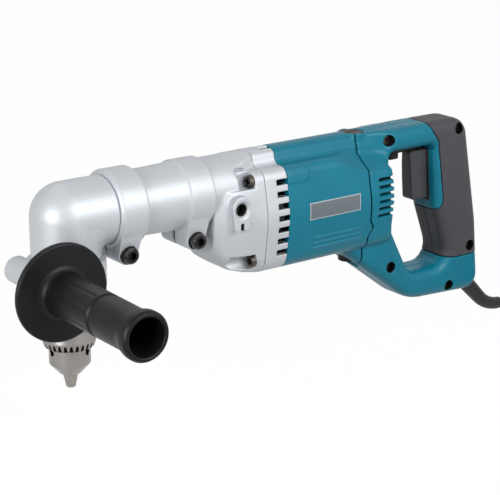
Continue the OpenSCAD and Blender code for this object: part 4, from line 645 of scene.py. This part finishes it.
def fastener_tree(name, recess_arms):
    """A node tree that sets a screw at each point: a chamfered head with a recess of crossed arms, or a
    hexagon socket where there are none, and a shank. The head looks along +Z before its turn is applied."""
    tree = bpy.data.node_groups.new(name, "GeometryNodeTree")
    lengths = ("Head Diameter", "Head Height", "Chamfer", "Recess Width", "Recess Depth", "Shank Diameter",
               "Shank Length")
    for label, kind in (("Geometry", "Geometry"), *((label, "Float") for label in lengths),
                        ("Turn", "Vector"), ("Seed", "Int"), ("Material", "Material")):
        tree.interface.new_socket(label, in_out="INPUT", socket_type=f"NodeSocket{kind}")
    tree.interface.new_socket("Geometry", in_out="OUTPUT", socket_type="NodeSocketGeometry")
    sizes = put(tree, "NodeGroupInput").outputs
    arm_share = 0.28
    part = {label: put(tree, "ShaderNodeMath", {0: sizes[label], 1: share}, operation="MULTIPLY").outputs[0]
            for label, share in (("Head Diameter", 0.5), ("Shank Diameter", 0.5), ("Shank Length", -0.5),
                                 ("Recess Depth", 2.0), ("Recess Width", arm_share if recess_arms else 0.5))}
    straight = put(tree, "ShaderNodeMath", {0: sizes["Head Height"], 1: sizes["Chamfer"]},
                   operation="SUBTRACT")
    middle_up = put(tree, "ShaderNodeMath", {0: straight.outputs[0], 1: 0.5}, operation="MULTIPLY")
    crown = put(tree, "ShaderNodeMath", {0: part["Head Diameter"], 1: sizes["Chamfer"]}, operation="SUBTRACT")
    lower = put(tree, "GeometryNodeMeshCylinder", {
        "Vertices": 48, "Radius": part["Head Diameter"], "Depth": straight.outputs[0]})
    upper = put(tree, "GeometryNodeMeshCone", {
        "Vertices": 48, "Radius Top": crown.outputs[0], "Radius Bottom": part["Head Diameter"],
        "Depth": sizes["Chamfer"]})
    shank = put(tree, "GeometryNodeMeshCylinder", {
        "Vertices": 32, "Radius": part["Shank Diameter"], "Depth": sizes["Shank Length"]})
    cuts = []
    if recess_arms:
        long, short = sizes["Recess Width"], part["Recess Width"]
        for x, y in ((long, short), (short, long)):
            size = put(tree, "ShaderNodeCombineXYZ", {"X": x, "Y": y, "Z": part["Recess Depth"]})
            cuts.append(put(tree, "GeometryNodeMeshCube", {"Size": size.outputs[0]}))
    else:
        cuts.append(put(tree, "GeometryNodeMeshCylinder", {
            "Vertices": 6, "Radius": part["Recess Width"], "Depth": part["Recess Depth"]}))
    head = put(tree, "GeometryNodeMeshBoolean", operation="UNION")
    hollow = put(tree, "GeometryNodeMeshBoolean", {"Mesh 1": head.outputs["Mesh"]}, operation="DIFFERENCE")
    whole = put(tree, "GeometryNodeJoinGeometry")
    lifts = [(upper, straight.outputs[0], head.inputs["Mesh 2"]),
             (lower, middle_up.outputs[0], head.inputs["Mesh 2"])]
    lifts += [(cut, sizes["Head Height"], hollow.inputs["Mesh 2"]) for cut in cuts]
    lifts.append((shank, part["Shank Length"], whole.inputs[0]))
    for solid, height, target in lifts:
        shift = put(tree, "ShaderNodeCombineXYZ", {"Z": height})
        moved = put(tree, "GeometryNodeTransform", {
            "Geometry": solid.outputs["Mesh"], "Translation": shift.outputs[0]})
        tree.links.new(moved.outputs[0], target)
    tree.links.new(hollow.outputs["Mesh"], whole.inputs[0])
    set_out = put(tree, "GeometryNodeInstanceOnPoints", {
        "Points": sizes["Geometry"], "Instance": whole.outputs[0], "Rotation": sizes["Turn"]})
    chance = put(tree, "FunctionNodeRandomValue", {"Max": 2 * math.pi, "Seed": sizes["Seed"]},
                 data_type="FLOAT")
    spin = put(tree, "ShaderNodeCombineXYZ", {"Z": chance.outputs["Value"]})
    driven = put(tree, "GeometryNodeRotateInstances", {
        "Instances": set_out.outputs[0], "Rotation": spin.outputs[0], "Local Space": True})
    real = put(tree, "GeometryNodeRealizeInstances", {"Geometry": driven.outputs[0]})
    dressed = put(tree, "GeometryNodeSetMaterial", {
        "Geometry": real.outputs[0], "Material": sizes["Material"]})
    put(tree, "NodeGroupOutput", {"Geometry": dressed.outputs[0]})
    return tree


def fasteners(name, tree, places, sizes, node):
    """The screws of one kind as one plain mesh, in place of their CAD node and on its body."""
    mesh = bpy.data.meshes.new(name)
    mesh.from_pydata(places, [], [])
    piece = link(name, mesh)
    made = piece.modifiers.new("fasteners", "NODES")
    made.node_group = tree
    for item in tree.interface.items_tree:
        if item.in_out == "INPUT" and item.name in sizes:
            made[item.identifier] = sizes[item.name]
    settle(piece)
    smooth_faces(piece.data)
    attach(piece, frame["nodes"][node]["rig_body"])
    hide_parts(node)


# M8 socket head bolts with a 6 mm key, heads on the left in their spot faces.
socket_head_bolt = fastener_tree("socket_head_bolt", recess_arms=False)
lug_face, lug_drop = -17.5, -34
bolt_places = [at(x, lug_face, lug_drop) for x in (43.8, 106.8)]
fasteners("socket_head_bolts", socket_head_bolt, bolt_places, {
    "Head Diameter": 13 * mm, "Head Height": 8 * mm, "Chamfer": 1.4 * mm, "Recess Width": 6.9 * mm,
    "Recess Depth": 4 * mm, "Shank Diameter": 8 * mm, "Shank Length": 35 * mm,
    "Turn": (math.pi / 2, 0.0, 0.0), "Seed": 3, "Material": black_steel}, "clamp_bolts")


# Gear case and bearing box
# Two silver castings that close on each other: the gear case with a handle socket on each side,
# and the vented bearing box. Four pan head screws in pockets go through both into the motor housing.

# The round nose runs on into the ridge of the bearing box, and the skin is eased where they meet.
nose_end, nose_radius, nose_turn = 147, 27, 0.2
run_start, run_radius, run_turn, run_end = 143.5, 26.4, 0.21, 167.4
ease_reach, ease_fall = 11, 0.4
ridge_section = ((4.55, 27.4), (10.4, 24), (12.9, 15))
nose_blends, nose_run = [], []
for k in range(-4, 5):
    spot = at(nose_end, nose_radius * math.sin(nose_turn * k), nose_radius * math.cos(nose_turn * k))
    nose_blends.append((spot, ease_reach - ease_fall * abs(k)))
    nose_run.append(at(run_start, run_radius * math.sin(run_turn * k), run_radius * math.cos(run_turn * k)))
nose_run += [at(run_end, side * y, z) for side in (-1, 1) for y, z in ridge_section]
gear_case = soft_copy("gear_case", "gear_case_casting", silver_paint, grain=0.5, rounds=8,
                      share=0.35, blends=nose_blends, fills=[nose_run])
# Below each handle socket a small slot takes the handle's stop. Painted shade darkens its inside.
socket_x, socket_face, socket_z = 140.374, 36.2, -11.5
stop_z, stop_half_width, stop_half_height, case_skin = -25.5, 1.6, 2.9, 35.8
paint_shade_inside(gear_case, lambda spot: (abs(spot.x - socket_x) < stop_half_width and abs(spot.y) < case_skin
                               and abs(spot.z - stop_z) < stop_half_height))
bearing_box = soft_copy("bearing_box", "bearing_box_casting", silver_paint, grain=0.5,
                        rounds=5, share=0.4)


def body_half(z):
    """Half the width of the drill's body in mm at a height. It narrows above and below its widest part."""
    widest, half, narrows, above, below = -26, 34, 6.8, 40.5, 47.5
    return half - narrows * ((z - widest) / above if z > widest else (widest - z) / below)


def in_box_vent(spot):
    """Inside one of the seven vents on each side of the bearing box, behind its edge."""
    front, rear, top, bottom = 178.8, 190.2, 5.73, -58.2
    pitch, height, core, edge_width = 9.856, 4.73, 10, 1.6
    return (front < spot.x < rear and bottom < spot.z < top and (top - spot.z) % pitch < height
            and core < abs(spot.y) < body_half(spot.z) - edge_width)


# Painted shade darkens the vents behind their edges.
paint_shade_inside(bearing_box, in_box_vent)
# The M12 threads of the two handle sockets, with a pitch of 1.75 mm, in a liner to the mouth: cut aluminium
# painted dark as the shade inside the bore.
shade_painted_tapped_aluminium = patchy("shade_painted_tapped_aluminium", size=2, detail=3, colours=("#2c2b2b", "#55534f"),
                          dull=(0.25, 0.45), surface={"Metallic": 0.8})
thread_pitch, thread_wall, thread_rise = 1.75, 4.9, 0.4
thread_mouth, thread_end, thread_step = 2.2, 12.2, 0.2
liner_radius, liner_end = 5.5, 12.8


def threaded(radius, distance, angle):
    """The socket's radius where its thread runs: a ridge that climbs by the pitch in each turn."""
    if radius != thread_wall or not thread_mouth < distance < thread_end - thread_step:
        return radius
    phase = (distance / thread_pitch + angle / (2 * math.pi)) % 1
    return radius - thread_rise * (1 - abs(2 * phase - 1))


thread_line = [(0, thread_end)]
thread_line += [(thread_wall, thread_end - thread_step * k) for k in range(51)]
thread_line += [(liner_radius, thread_mouth), (liner_radius, liner_end), (0, liner_end)]
for side, label in ((-1, "left"), (1, "right")):
    mouth = at(socket_x, side * socket_face, socket_z)
    mesh = turned(f"socket_thread_{label}", thread_line, mouth, Vector((0, -side, 0)), sides=48,
                  shape=threaded)
    mesh.materials.append(shade_painted_tapped_aluminium)
    socket_thread = link(f"socket_thread_{label}", mesh)
    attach(socket_thread, "drill_body")

# A thin brown black oxide through which the steel shines, rubbed in spots of 1 mm.
bronzed_steel = patchy("bronzed_screw_steel", size=1, detail=3, colours=("#3c3936", "#625d57"),
                       dull=(0.24, 0.4), surface={"Metallic": 0.9})
cross_head_screw = fastener_tree("cross_head_screw", recess_arms=True)
pocket_x, pocket_spots = 158, ((22.98, 7.02), (25.5, -58.98))
case_screw_places = [at(pocket_x, side * y, z) for side in (-1, 1) for y, z in pocket_spots]
fasteners("cross_head_case_screws", cross_head_screw, case_screw_places, {
    "Head Diameter": 10.5 * mm, "Head Height": 3.6 * mm, "Chamfer": 1.1 * mm, "Recess Width": 6.6 * mm,
    "Recess Depth": 2.4 * mm, "Shank Diameter": 5 * mm, "Shank Length": 46.3 * mm,
    "Turn": (0.0, -math.pi / 2, 0.0), "Seed": 7, "Material": bronzed_steel}, "case_screws")


# Motor
# A moulded housing of glass filled nylon in teal, with the field, armature, commutator and
# brushes inside. The caps of the brush holders show above and below, and a plate on the left side.

teal_nylon, tree, where = new_material("teal_moulded_nylon")
# Coloured through: a deep teal with a satin sheen, a mould skin of 0.7 mm drawn coarser than real,
# flow clouds about 25 mm across, and edges that catch a little more light.
skin = put(tree, "ShaderNodeTexNoise", {
    "Vector": where, "Scale": 1 / (0.7 * mm), "Detail": 2.0}).outputs["Fac"]
cloud = put(tree, "ShaderNodeTexNoise", {
    "Vector": where, "Scale": 1 / (25 * mm), "Detail": 3.0}).outputs["Fac"]
edge = put(tree, "ShaderNodeNewGeometry").outputs["Pointiness"]
catch = put(tree, "ShaderNodeMapRange", {"Value": edge, "From Min": 0.53, "From Max": 0.62, "To Max": 0.55})
tone = put(tree, "ShaderNodeMix", {"Factor": cloud, "A": linear("#00697f"), "B": linear("#07758b")},
           data_type="RGBA")
lit = put(tree, "ShaderNodeMix", {
    "Factor": catch.outputs[0], "A": tone.outputs["Result"], "B": linear("#4ba5b6")}, data_type="RGBA")
dull = put(tree, "ShaderNodeMapRange", {"Value": cloud, "To Min": 0.36, "To Max": 0.46})
relief = put(tree, "ShaderNodeBump", {"Strength": 0.05, "Distance": 0.2 * mm, "Height": skin})
shader = put(tree, "ShaderNodeBsdfPrincipled", {
    "Base Color": lit.outputs["Result"], "Roughness": dull.outputs[0], "IOR": 1.53,
    "Specular IOR Level": 0.25, "Normal": relief.outputs[0]})
put(tree, "ShaderNodeOutputMaterial", {"Surface": shader.outputs[0]})
motor_housing = soft_copy("motor_housing", "motor_housing_moulding", teal_nylon, grain=0.6,
                          rounds=8, share=0.3)


def parted(piece, line, wide, deep):
    """Draws the skin in along a joint that runs across the side, and paints shade in the middle of the gap.
    All in mm from the crossing."""
    bead_gap, dark_share = 0.3, 0.45
    beads = []
    for a, b in zip(line, line[1:]):
        cuts = int((b - a).length / bead_gap) + 1
        beads += [a.lerp(b, k / cuts) for k in range(cuts)]
    beads.append(line[-1])
    near = KDTree(len(beads))
    for bead in beads:
        near.insert(bead.to_3d(), 0)
    near.balance()
    moves = []
    for point in piece.data.vertices:
        spot = from_crossing(point.co)
        away = near.find((spot.x, spot.z, 0))[2]
        if away < wide:
            moves.append((point, point.normal * (-mm * deep * (1 - away / wide))))
    for point, move in moves:
        point.co += move
    paint_shade_inside(piece, lambda spot: near.find((spot.x, spot.z, 0))[2] < dark_share * wide)


seam_width, seam_depth = 1.3, 0.6
handle_seam = [Vector(p) for p in (
    (276.3, 40), (276.3, -14.74), (278.7, -45.54), (282.3, -51.7), (277.5, -60.5), (279.3, -71.06),
    (280.2, -83.38), (280.2, -100))]
parted(motor_housing, handle_seam, seam_width, seam_depth)

lamination, tree, where = new_material("stacked_lamination_steel")
# Stamped sheets stacked along the motor, drawn 1 mm thick so that they show.
sheets = put(tree, "ShaderNodeTexWave", {"Vector": where, "Scale": wave_scale(1)},
             bands_direction="X").outputs["Fac"]
tone = put(tree, "ShaderNodeMix", {"Factor": sheets, "A": linear("#4d5156"), "B": linear("#7c8187")},
           data_type="RGBA")
shader = put(tree, "ShaderNodeBsdfPrincipled", {
    "Base Color": tone.outputs["Result"], "Metallic": 0.8, "Roughness": 0.45})
put(tree, "ShaderNodeOutputMaterial", {"Surface": shader.outputs[0]})
copper, tree, where = new_material("enamelled_copper_wire")
# Varnished wire 0.8 mm thick, wound side by side.
wires = put(tree, "ShaderNodeTexWave", {
    "Vector": where, "Scale": wave_scale(0.8), "Distortion": 1.5, "Detail": 2.0},
    bands_direction="X").outputs["Fac"]
tone = put(tree, "ShaderNodeMix", {"Factor": wires, "A": linear("#6b3316"), "B": linear("#b4683a")},
           data_type="RGBA")
relief = put(tree, "ShaderNodeBump", {"Strength": 0.4, "Distance": 0.4 * mm, "Height": wires})
shader = put(tree, "ShaderNodeBsdfPrincipled", {
    "Base Color": tone.outputs["Result"], "Metallic": 0.7, "Roughness": 0.35, "Normal": relief.outputs[0]})
put(tree, "ShaderNodeOutputMaterial", {"Surface": shader.outputs[0]})
# Pressed graphite: dark grey with a soft gleam and grains of 0.5 mm.
carbon = patchy("pressed_carbon", size=0.5, detail=2, colours=("#26262a", "#3c3c40"), dull=(0.5, 0.5),
                surface={"Metallic": 0.3})
# Glass filled nylon, with patches of dust about 6 mm across between the blades.
fan_nylon = patchy("dark_fan_nylon", size=6, detail=4, colours=("#161617", "#2c2a28"), dull=(0.6, 0.6),
                   surface={})
for node, material in (("field_core", lamination), ("armature_core", lamination), ("field_coils", copper),
                       ("commutator", copper), ("fan", fan_nylon), ("brush_holders", brass),
                       ("carbon_brushes", carbon)):
    coat(node, material)
soft_copy("brush_caps", "slotted_brush_caps", black_nylon, grain=0.3, rounds=2, share=0.5)

grey_plate, tree, where = new_material("anodised_plate")
# Brushed along its length and anodised grey: streaks drawn 0.5 mm wide and 30 mm long.
stretch = put(tree, "ShaderNodeMapping", {
    "Vector": where, "Scale": (1 / (30 * mm), 1 / (0.5 * mm), 1 / (0.5 * mm))})
brush = put(tree, "ShaderNodeTexNoise", {
    "Vector": stretch.outputs[0], "Scale": 1.0, "Detail": 2.0}).outputs["Fac"]
tone = put(tree, "ShaderNodeMix", {"Factor": brush, "A": linear("#5a6367"), "B": linear("#727c82")},
           data_type="RGBA")
# A plain bright border, 0.8 mm wide, where the anodising is polished off.
border_width = 0.8 * mm
plate_low, plate_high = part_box("name_plate")
spot = put(tree, "ShaderNodeSeparateXYZ", {"Vector": where})
rims = []
for axis in ("x", "z"):
    low, high = getattr(plate_low, axis), getattr(plate_high, axis)
    off = put(tree, "ShaderNodeMath", {0: spot.outputs[axis.upper()], 1: (low + high) / 2},
              operation="SUBTRACT")
    away = put(tree, "ShaderNodeMath", {0: off.outputs[0]}, operation="ABSOLUTE")
    rims.append(put(tree, "ShaderNodeMath", {0: away.outputs[0], 1: (high - low) / 2 - border_width},
                    operation="GREATER_THAN").outputs[0])
border = put(tree, "ShaderNodeMath", {0: rims[0], 1: rims[1]}, operation="MAXIMUM")
framed = put(tree, "ShaderNodeMix", {
    "Factor": border.outputs[0], "A": tone.outputs["Result"], "B": linear("#a9b2b7")}, data_type="RGBA")
dull = put(tree, "ShaderNodeMapRange", {"Value": brush, "To Min": 0.3, "To Max": 0.42})
shader = put(tree, "ShaderNodeBsdfPrincipled", {
    "Base Color": framed.outputs["Result"], "Metallic": 0.45, "Roughness": dull.outputs[0]})
put(tree, "ShaderNodeOutputMaterial", {"Surface": shader.outputs[0]})
coat("name_plate", grey_plate)


# Handle
# Two teal moulded halves, screwed together from the left, close round the switch, the trigger, the
# reversing lever and the cord's clamp. Softer grey covers lie over the rear of the grip.

# A softer, duller compound: warm dark grey with a fine grain of 0.6 mm and worn clouds of 30 mm.
grey_grip = patchy("grey_soft_grip", size=30, detail=3, colours=("#3d3c40", "#49484c"), dull=(0.5, 0.6),
                   surface={"IOR": 1.5, "Specular IOR Level": 0.25}, grain=(0.6, 0.08))
screw_spots = [(309.38, 17.3), (389.84, 17.3), (408.91, -94.05), (384.62, -128.05), (313.55, -96.94)]
cover_width, cover_depth = 0.9, 0.4
cover_edge = [Vector(p) for p in (
    (354.82, 44.5), (354.82, 26.65), (359.74, 17.3), (366.3, 9.14), (370.17, -18.4), (373.67, -44.75),
    (372.85, -50.36), (369.87, -53.76), (365.4, -55.29), (347.37, -56.65), (347.37, -91.5), (363.76, -95.58),
    (377.17, -100.34), (392.07, -102.04), (455.1, -103.06))]


def in_pocket(spot):
    """Inside one of the five screw pockets, which open on the left."""
    floor_y, radius = -9, 5.0
    return spot.y < floor_y and any(math.hypot(spot.x - x, spot.z - z) < radius for x, z in screw_spots)


def in_handle_vent(spot):
    """Inside one of the six vents on each side in front of the finger opening."""
    front, rear, top, bottom = 286, 313, -9.9, -44.2
    pitch, height, core, margin = 6.3, 2.5, 20, 0.1
    return (front < spot.x < rear and bottom < spot.z < top and margin < (top - spot.z) % pitch < height
            and abs(spot.y) > core)


# The back of the grip runs on behind the switch in a plate 2 mm thick, which leans as the back does.
back_lean = Matrix.Rotation(math.atan2(-18.18, 97.58), 3, "Y")
half_thick, half_wide, half_high = 1 * mm, 5.85 * mm, 10.4 * mm
for side, sign in (("left", -1), ("right", 1)):
    # The skin is eased where the top arm grows out of the barrel: places and reaches in mm.
    arm_blends = [(at(x, sign * y, z), span) for x, y, z, span in (
        (290, 20, 6, 22), (306, 17, 0, 17), (293, 11, 22, 12), (308, 9, 26, 10), (322, 9, 26, 10))]
    half = soft_copy(f"handle_{side}", f"handle_moulding_{side}", teal_nylon, grain=0.6,
                     rounds=8, share=0.35, blends=arm_blends)
    back = [at(404.74, sign * 6, -6.18) + back_lean @ Vector((x, y, z))
            for x in (-half_thick, half_thick) for y in (-half_wide, half_wide)
            for z in (-half_high, half_high)]
    cover = soft_copy(f"grip_cover_{side}", f"grip_cover_moulding_{side}", grey_grip, grain=0.6,
                      rounds=6, share=0.4, fills=[back])
    parted(half, handle_seam, seam_width, seam_depth)
    parted(half, cover_edge, cover_width, cover_depth)
    parted(cover, cover_edge, cover_width, cover_depth)
    # Painted shade darkens the screw pockets and vents of the halves, and the pockets of the covers.
    paint_shade_inside(half, lambda spot: in_pocket(spot) or in_handle_vent(spot))
    paint_shade_inside(cover, in_pocket)
screw_seat = -11
handle_screw_places = [at(x, screw_seat, z) for x, z in screw_spots]
fasteners("handle_cross_screws", cross_head_screw, handle_screw_places, {
    "Head Diameter": 9 * mm, "Head Height": 2 * mm, "Chamfer": 0.7 * mm, "Recess Width": 5 * mm,
    "Recess Depth": 1.4 * mm, "Shank Diameter": 4 * mm, "Shank Length": 22 * mm,
    "Turn": (math.pi / 2, 0.0, 0.0), "Seed": 11, "Material": bronzed_steel}, "handle_screws")
switch_case = link("switch_case", bars("switch_case", [(at(377.4, -11, -44), at(401.9, 11, 2))], bevel=1.2))
switch_case.data.materials.append(black_nylon)
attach(switch_case, "drill_body")
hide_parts("switch_unit")
# The trigger is moulded in acetal: a dark grey, smoother than the handle, rubbed in patches of 10 mm.
grey_acetal = patchy("dark_grey_acetal", size=10, detail=3, colours=("#36373a", "#434447"), dull=(0.34, 0.44),
                     surface={"IOR": 1.48, "Specular IOR Level": 0.3})
soft_copy("trigger", "trigger_moulding", grey_acetal, grain=0.4, rounds=9, share=0.5)
soft_copy("reversing_lever", "reversing_lever_moulding", black_nylon, grain=0.35, rounds=4,
          share=0.6)
# A black rubber frame round the trigger's slot is painted shade: it stands for the dark gap where the trigger
# goes into the handle. It leans with the front of the grip.
lip_front, lip_back, lip_side, lip_half = -0.7, 1.5, 7.8, 0.8
lip_boxes = [(Vector((lip_front, y - lip_half, -23.2)) * mm, Vector((lip_back, y + lip_half, 24.5)) * mm)
             for y in (-lip_side, lip_side)]
lip_boxes.append((Vector((lip_front, -8.6, -23.4)) * mm, Vector((lip_back, 8.6, -21.8)) * mm))
lip_lean = Matrix.Rotation(math.atan2(-4.0, 57.8), 4, "Y")
lip_mesh = bars("trigger_shade_frame", lip_boxes, bevel=0.4)
lip_mesh.transform(Matrix.Translation(at(364.3, 0, -23.5)) @ lip_lean)
lip_mesh.materials.append(black_rubber)
trigger_shade_frame = link("trigger_shade_frame", lip_mesh)
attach(trigger_shade_frame, "drill_body")
coat("cord_clamp", black_nylon)
soft_copy("cord_guard", "cord_guard_moulding", black_rubber, grain=0.5, rounds=8, share=0.6)
